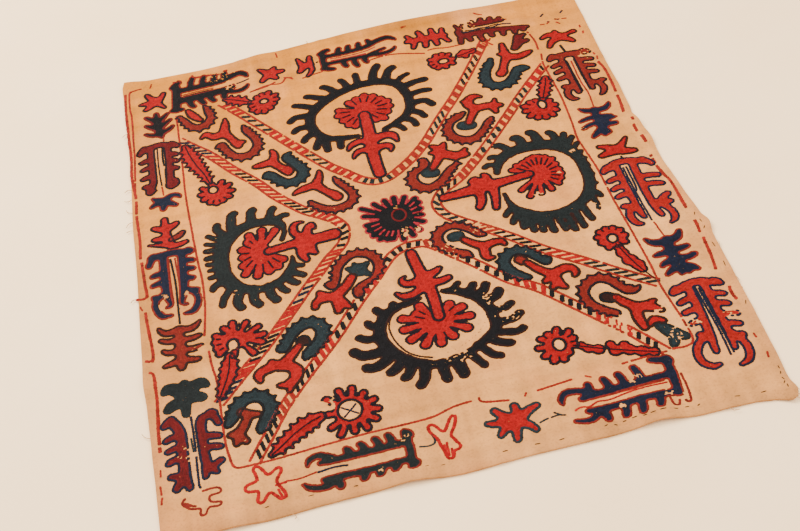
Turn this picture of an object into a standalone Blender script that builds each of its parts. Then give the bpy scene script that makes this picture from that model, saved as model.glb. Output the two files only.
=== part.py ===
"""An embroidered cotton panel with a turned hem, lying flat.

The panel is one woven cloth, cut nearly square and turned under all round, so its edge is two
layers thick. It lies face up. The middle is flat on the surface, and the edges wander, pucker and
lift a little where the hem has shrunk and been pulled.

X runs along the near edge, Y away from it, Z up. The origin is under the middle of the panel.
"""
import math

import bpy

# Driving dimensions, in metres
CLOTH_WIDTH = 0.606
CLOTH_LENGTH = 0.717
CLOTH_THICKNESS = 0.0018
HEM_THICKNESS = 0.0028
SIDE_HEM = 0.009
END_HEM = 0.013
HEM_STEP = 0.003
EDGE_ROUND = 0.0005
CELL = 0.0165

CLOTH_COLOUR = (0.73, 0.48, 0.29, 1.0)
CLOTH_ROUGHNESS = 0.9

# How far the hemmed edges wander, in millimetres. On the two sides a row is the height up the
# cloth from its middle, and the edge's distance out from the middle line.
LEFT_EDGE = (
    (-358, 300.8), (-300, 301.8), (-250, 303.0), (-200, 304.4), (-165, 306.2), (-100, 305.5),
    (0, 304.2), (75, 304.8), (150, 303.0), (200, 302.0), (250, 302.5), (345, 304.4), (360, 301.5),
)
RIGHT_EDGE = (
    (-360, 302.6), (-349, 306.4), (-338, 303.8), (-300, 306.1), (-225, 307.6), (-130, 308.7),
    (-112, 311.2), (-98, 308.0), (-50, 303.4), (0, 299.0), (50, 300.0), (66, 297.0), (84, 293.2),
    (104, 295.4), (150, 296.8), (200, 296.2), (300, 298.5), (362, 299.3),
)
# On the two ends a row is the distance along the cloth from its middle, and the edge's distance
# out from the middle line.
FAR_EDGE = (
    (-303, 358.6), (-270, 355.6), (-200, 354.4), (-150, 357.0), (-110, 361.0), (-50, 365.8),
    (0, 368.2), (75, 369.0), (150, 368.4), (200, 366.4), (250, 363.6), (300, 361.5),
)
NEAR_EDGE = (
    (-303, 357.6), (-200, 359.4), (-150, 356.4), (-70, 354.0), (-20, 357.6), (50, 354.2),
    (120, 353.6), (172, 350.2), (210, 353.2), (262, 352.6), (282, 355.0), (297, 360.2),
    (306, 358.0),
)

# Soft ridges where the cloth stands off the surface, in millimetres and degrees: the middle of
# the ridge, half its length, half its breadth, its turn from X and how high it rises
RIDGES = (
    # x, y, reach, breadth, turn, rise
    (296, 76, 88, 20, 176, 4.6),
    (300, 38, 60, 17, 168, 2.6),
    (306, -112, 62, 18, 14, 3.2),
    (302, -352, 46, 17, 132, 3.4),
    (174, -350, 58, 30, 98, 3.6),
    (-66, -354, 62, 34, 82, 3.0),
    (-232, -358, 54, 24, 104, 2.2),
    (66, 368, 132, 30, 2, 2.8),
    (-126, 362, 60, 24, 52, 2.4),
    (-306, -166, 50, 26, 8, 2.4),
    (-303, 232, 44, 24, 172, 1.8),
    (-296, 352, 52, 22, 128, 2.2),
)


def remove_everything():
    for thing in list(bpy.data.objects):
        bpy.data.objects.remove(thing, do_unlink=True)


def read_between(rows, place):
    """The second column at a place between two rows, eased so that the line has no corners."""
    if place <= rows[0][0]:
        return rows[0][1]
    for (start, first), (end, second) in zip(rows, rows[1:]):
        if place <= end:
            part = (place - start) / (end - start)
            eased = part * part * (3 - 2 * part)
            return first + (second - first) * (0.5 * part + 0.5 * eased)
    return rows[-1][1]


def line_places(length, hem):
    """Where the mesh lines cross one side: close together over the hem, even between the hems."""
    count = round((length - 2 * (hem + HEM_STEP)) / CELL)
    inner = hem + HEM_STEP
    step = (length - 2 * inner) / count
    middle = [-length / 2 + inner + step * number for number in range(count + 1)]
    start = [-length / 2, -length / 2 + hem / 2, -length / 2 + hem]
    return start + middle + [-place for place in reversed(start)]


def ridge_height(x, y):
    """How far the cloth stands off the surface at a point, in metres."""
    height = 0.0
    for middle_x, middle_y, reach, breadth, turn, rise in RIDGES:
        away_x, away_y = x - middle_x / 1000, y - middle_y / 1000
        angle = math.radians(turn)
        along = (away_x * math.cos(angle) + away_y * math.sin(angle)) / (reach / 1000)
        across = (away_y * math.cos(angle) - away_x * math.sin(angle)) / (breadth / 1000)
        if abs(along) < 1 and abs(across) < 1:
            height += rise / 1000 * (1 - along * along) ** 2 * (1 - across * across) ** 2
    return height


def edge_place(across, up):
    """Moves a point of the even panel to where the wandering edges put it."""
    side = 0.5 + across / CLOTH_WIDTH
    end = 0.5 + up / CLOTH_LENGTH
    left = -read_between(LEFT_EDGE, up * 1000) / 1000
    right = read_between(RIGHT_EDGE, up * 1000) / 1000
    near = -read_between(NEAR_EDGE, across * 1000) / 1000
    far = read_between(FAR_EDGE, across * 1000) / 1000
    return left + (right - left) * side, near + (far - near) * end


def centre_of_box():
    """The middle of the panel's own box, which goes over the origin."""
    left = -max(row[1] for row in LEFT_EDGE) / 1000
    right = max(row[1] for row in RIGHT_EDGE) / 1000
    near = -max(row[1] for row in NEAR_EDGE) / 1000
    far = max(row[1] for row in FAR_EDGE) / 1000
    return (left + right) / 2, (near + far) / 2


def make_material():
    material = bpy.data.materials.new("unbleached_cotton")
    material.use_nodes = True
    shader = material.node_tree.nodes["Principled BSDF"]
    shader.inputs["Base Color"].default_value = CLOTH_COLOUR
    shader.inputs["Roughness"].default_value = CLOTH_ROUGHNESS
    shader.inputs["Metallic"].default_value = 0.0
    return material


def make_cloth(collection):
    across_lines = line_places(CLOTH_WIDTH, SIDE_HEM)
    up_lines = line_places(CLOTH_LENGTH, END_HEM)
    columns, rows = len(across_lines) - 1, len(up_lines) - 1
    bpy.ops.mesh.primitive_grid_add(x_subdivisions=columns, y_subdivisions=rows, size=2)
    cloth = bpy.context.object
    cloth.name = "embroidered_cloth"
    cloth.data.name = "embroidered_cloth"

    hem = cloth.vertex_groups.new(name="hem")
    middle_x, middle_y = centre_of_box()
    for vertex in cloth.data.vertices:
        column = round((vertex.co.x + 1) / 2 * columns)
        row = round((vertex.co.y + 1) / 2 * rows)
        x, y = edge_place(across_lines[column], up_lines[row])
        vertex.co = (x - middle_x, y - middle_y, ridge_height(x, y))
        if min(column, columns - column, row, rows - row) <= 2:
            hem.add([vertex.index], 1.0, "REPLACE")

    thicken = cloth.modifiers.new("cloth and turned hem", "SOLIDIFY")
    thicken.thickness = HEM_THICKNESS
    thicken.offset = 1.0
    thicken.vertex_group = hem.name
    thicken.thickness_vertex_group = CLOTH_THICKNESS / HEM_THICKNESS
    round_edge = cloth.modifiers.new("folded edge", "BEVEL")
    round_edge.width = EDGE_ROUND
    round_edge.segments = 1
    round_edge.limit_method = "ANGLE"
    round_edge.angle_limit = math.radians(60)

    cloth.data.materials.append(make_material())
    for home in list(cloth.users_collection):
        home.objects.unlink(cloth)
    collection.objects.link(cloth)


remove_everything()
parts = bpy.data.collections.new("embroidered_panel")
bpy.context.scene.collection.children.link(parts)
make_cloth(parts)
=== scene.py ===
"""An embroidered cotton panel, lying face up on a pale floor.

X runs along the near edge of the panel, Y away from it, Z up, and the origin is under its middle.
The charts of the embroidery are in millimetres from the middle of the stitched field, which lies
2.5 mm right of the panel's own middle and 4.4 mm beyond it.
"""

import math
import random

import bpy
import numpy as np
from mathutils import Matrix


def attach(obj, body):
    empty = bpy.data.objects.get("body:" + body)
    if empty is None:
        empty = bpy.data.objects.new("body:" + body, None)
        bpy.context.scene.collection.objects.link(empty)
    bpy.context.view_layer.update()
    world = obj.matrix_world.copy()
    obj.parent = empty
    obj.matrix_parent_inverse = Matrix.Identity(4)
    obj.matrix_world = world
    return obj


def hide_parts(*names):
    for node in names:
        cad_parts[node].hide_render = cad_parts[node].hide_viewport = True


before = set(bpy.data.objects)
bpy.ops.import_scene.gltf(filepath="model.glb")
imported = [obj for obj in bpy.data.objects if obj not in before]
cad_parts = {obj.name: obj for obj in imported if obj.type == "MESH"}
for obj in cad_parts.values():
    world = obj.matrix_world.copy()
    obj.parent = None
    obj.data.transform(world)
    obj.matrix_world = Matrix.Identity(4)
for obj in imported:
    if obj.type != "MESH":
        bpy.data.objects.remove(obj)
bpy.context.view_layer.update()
bpy.ops.object.select_all(action="DESELECT")
scene = bpy.context.scene

# Floor
# A plain pale studio floor that the panel lies on. It is not part of the object.
FLOOR_SIZE = 14
FLOOR_GAP = 0.0003
FLOOR_TONES = [(0.3, (0.97, 0.73, 0.44)), (0.7, (1.0, 0.78, 0.50))]


def add_node(tree, kind, **settings):
    """Adds a node and sets its inputs and its own properties by name."""
    node = tree.nodes.new(kind)
    for name, value in settings.items():
        if hasattr(node, name):
            setattr(node, name, value)
        else:
            node.inputs[name.replace("_", " ")].default_value = value
    return node


def ramp(tree, source, stops):
    """A colour ramp fed from an output; a stop is a place and a colour or a grey value."""
    node = tree.nodes.new("ShaderNodeValToRGB")
    tree.links.new(source, node.inputs["Fac"])
    while len(node.color_ramp.elements) < len(stops):
        node.color_ramp.elements.new(0.5)
    for element, (place, value) in zip(node.color_ramp.elements, stops):
        element.position = place
        element.color = (value, value, value, 1) if isinstance(value, float) else (*value, 1)
    return node.outputs["Color"]


bpy.ops.mesh.primitive_plane_add(size=FLOOR_SIZE, location=(0, 2, -FLOOR_GAP))
floor = bpy.context.object
floor.name = "studio_floor"
floor_finish = bpy.data.materials.new("pale_floor")
floor_finish.use_nodes = True
tree = floor_finish.node_tree
shader = tree.nodes["Principled BSDF"]
shader.inputs["Roughness"].default_value = 0.55
shader.inputs["Specular IOR Level"].default_value = 0.25
place = add_node(tree, "ShaderNodeTexCoord")
clouds = add_node(tree, "ShaderNodeTexNoise", Scale=5.0, Detail=5.0)
tree.links.new(place.outputs["Object"], clouds.inputs["Vector"])
tree.links.new(ramp(tree, clouds.outputs["Fac"], FLOOR_TONES), shader.inputs["Base Color"])
floor.data.materials.append(floor_finish)

# Camera
# Its place, turn and lens come from the four corners of the panel in the photo.
CAMERA_PLACE = (-0.11578, -1.04473, 0.96801)
CAMERA_TURN = (44.760, 6.046, -11.474)
CAMERA_LENS = 57.28
camera_data = bpy.data.cameras.new("camera")
camera = bpy.data.objects.new("camera", camera_data)
scene.collection.objects.link(camera)
camera_data.sensor_width = 36.0
camera_data.lens = CAMERA_LENS
camera.location = CAMERA_PLACE
camera.rotation_euler = [math.radians(turn) for turn in CAMERA_TURN]
scene.camera = camera

# Light
# Soft, bright studio light: a broad panel overhead on the left, a weaker one on the right and a
# pale surround.
world = bpy.data.worlds.new("studio")
world.use_nodes = True
world.node_tree.nodes["Background"].inputs["Color"].default_value = (1.0, 0.885, 0.76, 1)
world.node_tree.nodes["Background"].inputs["Strength"].default_value = 1.68
scene.world = world
for name, place, size, power, colour in (
    ("key_light", (-1.3, 1.2, 2.0), 1.8, 150, (1.0, 0.895, 0.775)),
    ("fill_light", (1.6, -0.6, 1.7), 1.6, 38, (1.0, 0.9, 0.8)),
):
    lamp = bpy.data.lights.new(name, "AREA")
    lamp.shape = "DISK"
    lamp.size = size
    lamp.energy = power
    lamp.color = colour
    holder = bpy.data.objects.new(name, lamp)
    scene.collection.objects.link(holder)
    holder.location = place
    aim = -np.array(place)
    holder.rotation_euler = (math.atan2(math.hypot(aim[0], aim[1]), -aim[2]), 0,
                             math.atan2(aim[1], aim[0]) - math.pi / 2)

# Cotton panel
# One hand-woven cotton cloth, nearly square, turned under all round and sewn down, so its edge is
# two layers thick. It lies flat in the middle, and its hems wander, pucker and lift a little.
CLOTH_WIDTH = 0.606
CLOTH_LENGTH = 0.717
CLOTH_THICKNESS = 0.0011
HEM_THICKNESS = 0.0022
SIDE_HEM = 0.009
END_HEM = 0.013
HEM_STEP = 0.0022
CLOTH_CELL = 0.0048
LEFT_EDGE = (
    (-358, 300.8), (-300, 301.8), (-250, 303.0), (-200, 304.4), (-165, 306.2), (-100, 305.5),
    (0, 304.2), (75, 304.8), (150, 303.0), (200, 302.0), (250, 302.5), (345, 304.4), (360, 301.5),
)
RIGHT_EDGE = (
    (-360, 302.6), (-349, 306.4), (-338, 303.8), (-300, 306.1), (-225, 307.6), (-130, 308.7),
    (-112, 311.2), (-98, 308.0), (-50, 303.4), (0, 299.0), (50, 300.0), (66, 297.0), (84, 293.2),
    (104, 295.4), (150, 296.8), (200, 296.2), (300, 298.5), (362, 299.3),
)
FAR_EDGE = (
    (-303, 358.6), (-270, 355.6), (-200, 354.4), (-150, 357.0), (-110, 361.0), (-50, 365.8),
    (0, 368.2), (75, 369.0), (150, 368.4), (200, 366.4), (250, 363.6), (300, 361.5),
)
NEAR_EDGE = (
    (-303, 357.6), (-200, 359.4), (-150, 356.4), (-70, 354.0), (-20, 357.6), (50, 354.2),
    (120, 353.6), (172, 350.2), (210, 353.2), (262, 352.6), (282, 355.0), (297, 360.2),
    (306, 358.0),
)
RIDGES = (
    # x, y, half length, half breadth, turn, rise
    (296, 76, 88, 20, 176, 4.6),
    (300, 38, 60, 17, 168, 2.6),
    (306, -112, 62, 18, 14, 3.2),
    (302, -352, 46, 17, 132, 3.4),
    (174, -350, 58, 30, 98, 3.6),
    (-66, -354, 62, 34, 82, 3.0),
    (-232, -358, 54, 24, 104, 2.2),
    (66, 368, 132, 30, 2, 2.8),
    (-126, 362, 60, 24, 52, 2.4),
    (-306, -166, 50, 26, 8, 2.4),
    (-303, 232, 44, 24, 172, 1.8),
    (-296, 352, 52, 22, 128, 2.2),
)
PUCKERS = (
    # Small drawn-in places beside the hems and the dense stitching
    (-150, 348, 26, 9, 84, 0.8), (-40, 352, 30, 10, 96, 0.9), (150, 352, 30, 10, 84, 0.8),
    (230, 350, 28, 9, 100, 0.7), (292, 300, 24, 9, 6, 0.7), (292, 210, 26, 10, -8, 0.9),
    (294, 150, 24, 9, 10, 0.8), (292, -20, 24, 10, 12, 0.8), (300, -180, 26, 10, -6, 0.8),
    (300, -240, 24, 9, 8, 0.7), (240, -346, 26, 11, 84, 1.0), (110, -348, 28, 11, 98, 0.9),
    (20, -350, 26, 10, 82, 0.9), (-130, -350, 28, 11, 96, 0.9), (-290, -260, 26, 10, 8, 0.7),
    (-296, -60, 26, 10, -6, 0.7), (-294, 60, 24, 9, 8, 0.6), (-294, 170, 24, 9, -10, 0.6),
    (0, 300, 120, 26, 4, 0.7), (120, 60, 90, 30, 44, 0.5), (-120, -60, 90, 30, 40, 0.5),
    (-30, -280, 120, 22, -4, 0.7), (60, -250, 70, 24, 30, 0.6), (-250, 250, 50, 20, 70, 0.6),
)


def read_between(rows, place):
    """The second column at the places given, eased between the rows so the line has no corners."""
    first = np.array(rows, float)
    place = np.clip(place, first[0, 0], first[-1, 0])
    at = np.clip(np.searchsorted(first[:, 0], place, side="right") - 1, 0, len(first) - 2)
    part = (place - first[at, 0]) / (first[at + 1, 0] - first[at, 0])
    part = 0.5 * part + 0.5 * part * part * (3 - 2 * part)
    return first[at, 1] + (first[at + 1, 1] - first[at, 1]) * part


def rise(x, y, ridges):
    """How far soft ridges lift the cloth at points given in millimetres."""
    height = np.zeros(np.shape(x))
    for middle_x, middle_y, reach, breadth, turn, top in ridges:
        away_x, away_y = x - middle_x, y - middle_y
        angle = math.radians(turn)
        along = (away_x * math.cos(angle) + away_y * math.sin(angle)) / reach
        across = (away_y * math.cos(angle) - away_x * math.sin(angle)) / breadth
        inside = (np.abs(along) < 1) & (np.abs(across) < 1)
        height += inside * top * (1 - along * along) ** 2 * (1 - across * across) ** 2
    return height


def cloth_height(x, y):
    """The underside of the cloth over the floor, in millimetres."""
    slack = 0.12 * (np.sin(x * 0.071 + 0.6 * np.sin(y * 0.043)) * np.sin(y * 0.058 + 1.3)) + 0.12
    return rise(x, y, RIDGES) + rise(x, y, PUCKERS) + slack


def cloth_top(x, y):
    """The face of the cloth: single in the middle, doubled where the hem is turned under."""
    side = np.minimum(x + read_between(LEFT_EDGE, y), read_between(RIGHT_EDGE, y) - x) / 1000
    end = np.minimum(y + read_between(NEAR_EDGE, x), read_between(FAR_EDGE, x) - y) / 1000
    inside = np.clip(np.minimum(side - SIDE_HEM, end - END_HEM) / HEM_STEP, 0, 1)
    return cloth_height(x, y) + 1000 * (HEM_THICKNESS + (CLOTH_THICKNESS - HEM_THICKNESS) * inside)


def edge_place(across, up):
    """Moves points of the even panel, in metres, to where the wandering edges put them."""
    side, end = 0.5 + across / CLOTH_WIDTH, 0.5 + up / CLOTH_LENGTH
    left, right = -read_between(LEFT_EDGE, up * 1000), read_between(RIGHT_EDGE, up * 1000)
    near, far = -read_between(NEAR_EDGE, across * 1000), read_between(FAR_EDGE, across * 1000)
    return left + (right - left) * side, near + (far - near) * end


def line_places(length, hem):
    """Where the mesh lines cross one side: close together over the hem, even between the hems."""
    inner = length / 2 - hem - HEM_STEP
    count = round(2 * inner / CLOTH_CELL)
    start = [-length / 2, -length / 2 + hem * 0.33, -length / 2 + hem * 0.67, -length / 2 + hem]
    middle = list(np.linspace(-inner, inner, count + 1))
    return np.array(start + middle + [-place for place in reversed(start)])


MIDDLE_X = (max(row[1] for row in RIGHT_EDGE) - max(row[1] for row in LEFT_EDGE)) / 2
MIDDLE_Y = (max(row[1] for row in FAR_EDGE) - max(row[1] for row in NEAR_EDGE)) / 2

across_lines = line_places(CLOTH_WIDTH, SIDE_HEM)
up_lines = line_places(CLOTH_LENGTH, END_HEM)
columns, rows = len(across_lines) - 1, len(up_lines) - 1
bpy.ops.mesh.primitive_grid_add(x_subdivisions=columns, y_subdivisions=rows, size=2)
cloth = bpy.context.object
cloth.name = "cotton_panel"
flat = np.empty(len(cloth.data.vertices) * 3)
cloth.data.vertices.foreach_get("co", flat)
flat = flat.reshape(-1, 3)
column = np.rint((flat[:, 0] + 1) / 2 * columns).astype(int)
row = np.rint((flat[:, 1] + 1) / 2 * rows).astype(int)
x, y = edge_place(across_lines[column], up_lines[row])
placed = np.stack([x - MIDDLE_X, y - MIDDLE_Y, cloth_height(x, y)], 1) / 1000
cloth.data.vertices.foreach_set("co", placed.ravel())
hem = cloth.vertex_groups.new(name="hem")
in_hem = np.minimum(np.minimum(column, columns - column), np.minimum(row, rows - row)) <= 3
hem.add([int(number) for number in np.nonzero(in_hem)[0]], 1.0, "REPLACE")
thicken = cloth.modifiers.new("cloth and turned hem", "SOLIDIFY")
thicken.thickness = HEM_THICKNESS
thicken.offset = 1.0
thicken.vertex_group = hem.name
thicken.thickness_vertex_group = CLOTH_THICKNESS / HEM_THICKNESS
bpy.ops.object.modifier_apply(modifier=thicken.name)
round_edge = cloth.modifiers.new("folded edge", "BEVEL")
round_edge.width = 0.0007
round_edge.segments = 2
round_edge.limit_method = "ANGLE"
round_edge.angle_limit = math.radians(60)
bpy.ops.object.modifier_apply(modifier=round_edge.name)
bpy.ops.object.shade_smooth()
# Darker towards the hems, evenly all round and most within 9 mm of the edge: soiling, and painted shade
# along the turned hem
flat = np.empty(len(cloth.data.vertices) * 3)
cloth.data.vertices.foreach_get("co", flat)
x, y = flat.reshape(-1, 3)[:, 0] * 1000, flat.reshape(-1, 3)[:, 1] * 1000
from_edge = np.minimum(306 - np.abs(x), 362 - np.abs(y))
soiled_and_shaded = np.clip((34 - from_edge) / 30, 0, 1) * 0.75 + np.clip((9 - from_edge) / 9, 0, 1) * 0.25
cloth.data.attributes.new("hem_soil_and_shade", "FLOAT", "POINT").data.foreach_set("value", soiled_and_shaded)


def blend(tree, how, share, below, above):
    """Mixes two colours; each may be an output or a plain value."""
    node = tree.nodes.new("ShaderNodeMix")
    node.data_type = "RGBA"
    node.blend_type = how
    for number, value in ((0, share), (6, below), (7, above)):
        if isinstance(value, (float, int)):
            node.inputs[number].default_value = value
        elif isinstance(value, tuple):
            node.inputs[number].default_value = (*value, 1)
        else:
            tree.links.new(value, node.inputs[number])
    return node.outputs[2]


cotton = bpy.data.materials.new("hand_woven_cotton")
cotton.use_nodes = True
tree = cotton.node_tree
shader = tree.nodes["Principled BSDF"]
shader.inputs["Roughness"].default_value = 0.92
shader.inputs["Specular IOR Level"].default_value = 0.12
place = add_node(tree, "ShaderNodeTexCoord").outputs["Object"]


def cloth_noise(scale, stretch=(1, 1, 1), detail=3.0, rough=0.55, turn=0.0):
    """Soft clouds in the panel's own frame, drawn out along the warp or the weft."""
    spread = add_node(tree, "ShaderNodeMapping")
    spread.inputs["Scale"].default_value = stretch
    spread.inputs["Rotation"].default_value = (0, 0, turn)
    clouds = add_node(tree, "ShaderNodeTexNoise", Scale=scale, Detail=detail, Roughness=rough)
    tree.links.new(place, spread.inputs["Vector"])
    tree.links.new(spread.outputs["Vector"], clouds.inputs["Vector"])
    return clouds.outputs["Fac"]


def cloth_wave(scale, direction, distortion):
    """The ribs of the weave along one direction."""
    waves = add_node(tree, "ShaderNodeTexWave", Scale=scale, Distortion=distortion, Detail=1.5)
    waves.bands_direction = direction
    tree.links.new(place, waves.inputs["Vector"])
    return waves.outputs["Fac"]


# Painted light: the cloth is painted tan and darker at the far side and paler and pinker towards the near
# one, as the light falls across it
light_falloff_mapping = add_node(tree, "ShaderNodeMapping")
light_falloff_mapping.inputs["Location"].default_value = (0.5, 0, 0)
light_falloff_mapping.inputs["Rotation"].default_value = (0, 0, math.radians(72))
light_falloff_mapping.inputs["Scale"].default_value = (1.35, 1.35, 1)
tree.links.new(place, light_falloff_mapping.inputs["Vector"])
painted_light_falloff = add_node(tree, "ShaderNodeTexGradient")
tree.links.new(light_falloff_mapping.outputs["Vector"], painted_light_falloff.inputs["Vector"])
tan = ramp(tree, cloth_noise(5.5), [(0.35, (0.52, 0.185, 0.014)), (0.65, (0.66, 0.25, 0.024))])
pale = ramp(tree, cloth_noise(5.0), [(0.35, (0.55, 0.245, 0.068)), (0.65, (0.70, 0.33, 0.098))])
# The tan and pale tones are mixed by this painted light across the cloth
tone = blend(tree, "MIX", ramp(tree, painted_light_falloff.outputs["Fac"], [(0.1, 0.0), (0.75, 1.0)]), tan, pale)
pink = ramp(tree, cloth_noise(9.0, detail=4.0), [(0.5, 0.0), (0.72, 1.0)])
tone = blend(tree, "MIX", pink, tone, (0.64, 0.26, 0.070))
# Soiling and painted shade along the hems darken the cloth
hem_soil_and_shade = add_node(tree, "ShaderNodeAttribute", attribute_name="hem_soil_and_shade")
tone = blend(tree, "MULTIPLY", hem_soil_and_shade.outputs["Fac"], tone, (0.80, 0.80, 0.90))
blots = ramp(tree, cloth_noise(28, detail=4.0), [(0.3, 0.74), (0.55, 1.0)])
tone = blend(tree, "MULTIPLY", 0.6, tone, blots)
slubs = ramp(tree, cloth_noise(60, (1, 0.06, 1), 2.0), [(0.35, 0.74), (0.6, 1.0)])
tone = blend(tree, "MULTIPLY", 0.6, tone, slubs)
weft = ramp(tree, cloth_noise(60, (0.05, 1, 1), 2.0), [(0.35, 0.78), (0.6, 1.0)])
tone = blend(tree, "MULTIPLY", 0.6, tone, weft)
specks = ramp(tree, cloth_noise(420, detail=2.0), [(0.3, 0.7), (0.5, 1.0)])
tone = blend(tree, "MULTIPLY", 0.6, tone, specks)
tree.links.new(tone, shader.inputs["Base Color"])
warp_ribs = cloth_wave(260, "X", 1.6)
weft_ribs = cloth_wave(230, "Y", 1.6)
weave = blend(tree, "MULTIPLY", 1.0, warp_ribs, weft_ribs)
relief = add_node(tree, "ShaderNodeBump", Strength=0.35, Distance=0.0006)
tree.links.new(weave, relief.inputs["Height"])
coarse = add_node(tree, "ShaderNodeBump", Strength=0.4, Distance=0.0015)
tree.links.new(cloth_noise(90, detail=3.0), coarse.inputs["Height"])
tree.links.new(relief.outputs["Normal"], coarse.inputs["Normal"])
tree.links.new(coarse.outputs["Normal"], shader.inputs["Normal"])
cloth.data.materials.clear()
cloth.data.materials.append(cotton)
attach(cloth, "root")
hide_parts("embroidered_cloth")

# Frame lines
# Single rows of chain stitch in brick-red thread that frame the field and the border. The whole
# panel is worked this way: each stitch is a loop of wool or silk held down by the next one.
ROW_PITCH = 1.6
CHAIN_WIDTH = 2.5
STITCH = 3.0
THREAD_RISE = 0.55
draws = random.Random(41)
sewn = {}
THREADS = {
    # Dye, and the slot whose stitches share one mesh
    "bright_red": ((133, 4, 7), "thread_red"),
    "madder": ((100, 22, 14), "thread_red"),
    "dark_red": ((80, 9, 12), "thread_red"),
    "orange_red": ((130, 16, 9), "thread_red"),
    "brick": ((120, 24, 13), "thread_red"),
    "rose": ((130, 24, 36), "thread_red"),
    "navy": ((10, 17, 36), "thread_dark"),
    "pine": ((16, 23, 25), "thread_dark"),
    "black": ((8, 8, 13), "thread_dark"),
    "teal": ((21, 33, 38), "thread_dark"),
    "plum": ((17, 7, 16), "thread_dark"),
    "brown": ((32, 11, 8), "thread_dark"),
    "loose": ((200, 150, 100), "cotton"),
}


def smooth(rows, step=1.8, closed=False):
    """A soft line through rows of x, y and half width."""
    rows = [tuple(row) for row in rows]
    if closed:
        rows = [rows[-1]] + rows + [rows[0], rows[1]]
    else:
        rows = [rows[0]] + rows + [rows[-1]]
    rows = np.array(rows, float)
    out = []
    for before, start, end, after in zip(rows, rows[1:], rows[2:], rows[3:]):
        count = max(2, int(np.hypot(*(end - start)[:2]) / step))
        for part in np.arange(count) / count:
            out.append(0.5 * (2 * start + (end - before) * part
                              + (2 * before - 5 * start + 4 * end - after) * part ** 2
                              + (3 * start - before - 3 * end + after) * part ** 3))
    if not closed:
        out.append(rows[-2])
    return np.array(out)


WORN = (
    # Where thread is worn away: middle, radius and the share that is lost
    (-6, -22, 6, 0.95), (-6, -30, 6, 0.95), (8, -25, 5, 0.9), (-8.7, 17.5, 3.5, 0.9),
    (182, 17, 4, 0.8), (150, -14, 7, 0.7), (208, 48, 5, 0.9), (203, -50, 8, 0.85), (114, 3, 6, 0.8),
    (72, -178, 22, 0.1), (10, -216, 14, 0.3), (-127, -242, 10, 0.9), (28, -76, 22, 0.45),
    (169, -226, 18, 0.5), (75, -40, 16, 0.45), (-275, -45, 6, 0.8), (-281, -60, 5, 0.8),
    (-252, -47, 6, 0.8), (162, -298, 5, 0.9), (171, -292, 5, 0.9), (144.5, -322, 5, 0.9),
    (191, -320, 6, 0.8), (203, -328, 6, 0.9), (212, 326, 16, 0.6), (-165, 311, 14, 0.5),
    (276, 222, 12, 0.45), (244, -242, 10, 0.6), (286, -242, 10, 0.6), (222, -217, 10, 0.7),
    (222, -252, 12, 0.4), (-247, -132, 8, 0.6), (-64, -301, 5, 0.7), (-92, -333, 5, 0.6),
    (150, 335, 14, 0.35), (262, 308, 26, 0.3), (-180, 338, 22, 0.3), (52, -149, 10, 0.3),
    (-200, -62, 10, 0.25), (122, 88, 9, 0.3), (-268, -262, 12, 0.3), (230, 78, 9, 0.5),
)


def worn_at(x, y):
    """The share of stitches that is lost at a point."""
    share = 0.0
    for px, py, radius, loss in WORN:
        away = math.hypot(x - px, y - py) / radius
        if away < 1:
            share = max(share, loss * min(1.0, 2 * (1 - away)))
    return share


def lay(line, thread, closed=False, width=CHAIN_WIDTH, stitch=STITCH, loss=0.0, lift=0.0,
        rough=0.0):
    """Lays a row of chain stitches along a line."""
    line = np.asarray(line, float)[:, :2]
    if closed:
        line = np.vstack([line, line[:1]])
    steps = np.hypot(*np.diff(line, axis=0).T)
    along = np.concatenate([[0], np.cumsum(steps)])
    total = along[-1]
    if total < 1.2:
        return
    count = max(1, round(total / stitch))
    length = total / count
    begin = draws.uniform(0, length) if closed else length / 2
    rows = sewn.setdefault(thread, [])
    for number in range(count):
        middle = (begin + number * length) % total
        start, end = max(middle - length / 2, 0), min(middle + length / 2, total)
        ax, ay = np.interp(start, along, line[:, 0]), np.interp(start, along, line[:, 1])
        bx, by = np.interp(end, along, line[:, 0]), np.interp(end, along, line[:, 1])
        x, y = (ax + bx) / 2, (ay + by) / 2
        lost = max(loss, worn_at(x, y))
        if lost and draws.random() < lost:
            continue
        turn = math.atan2(by - ay, bx - ax) + draws.gauss(0, rough)
        rows.append((x, y, turn, length, width, lift))


def run(line, thread, step=1.8, **how):
    """A single row of chain along a soft line through points."""
    lay(smooth([(x, y, 0) for x, y in line], step), thread, **how)


def dash(x, y, length, turn, thread, **how):
    """A short straight row round a middle point, turned by degrees."""
    dx, dy = math.cos(math.radians(turn)) * length / 2, math.sin(math.radians(turn)) * length / 2
    lay([(x - dx, y - dy), (x + dx, y + dy)], thread, **how)


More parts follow.
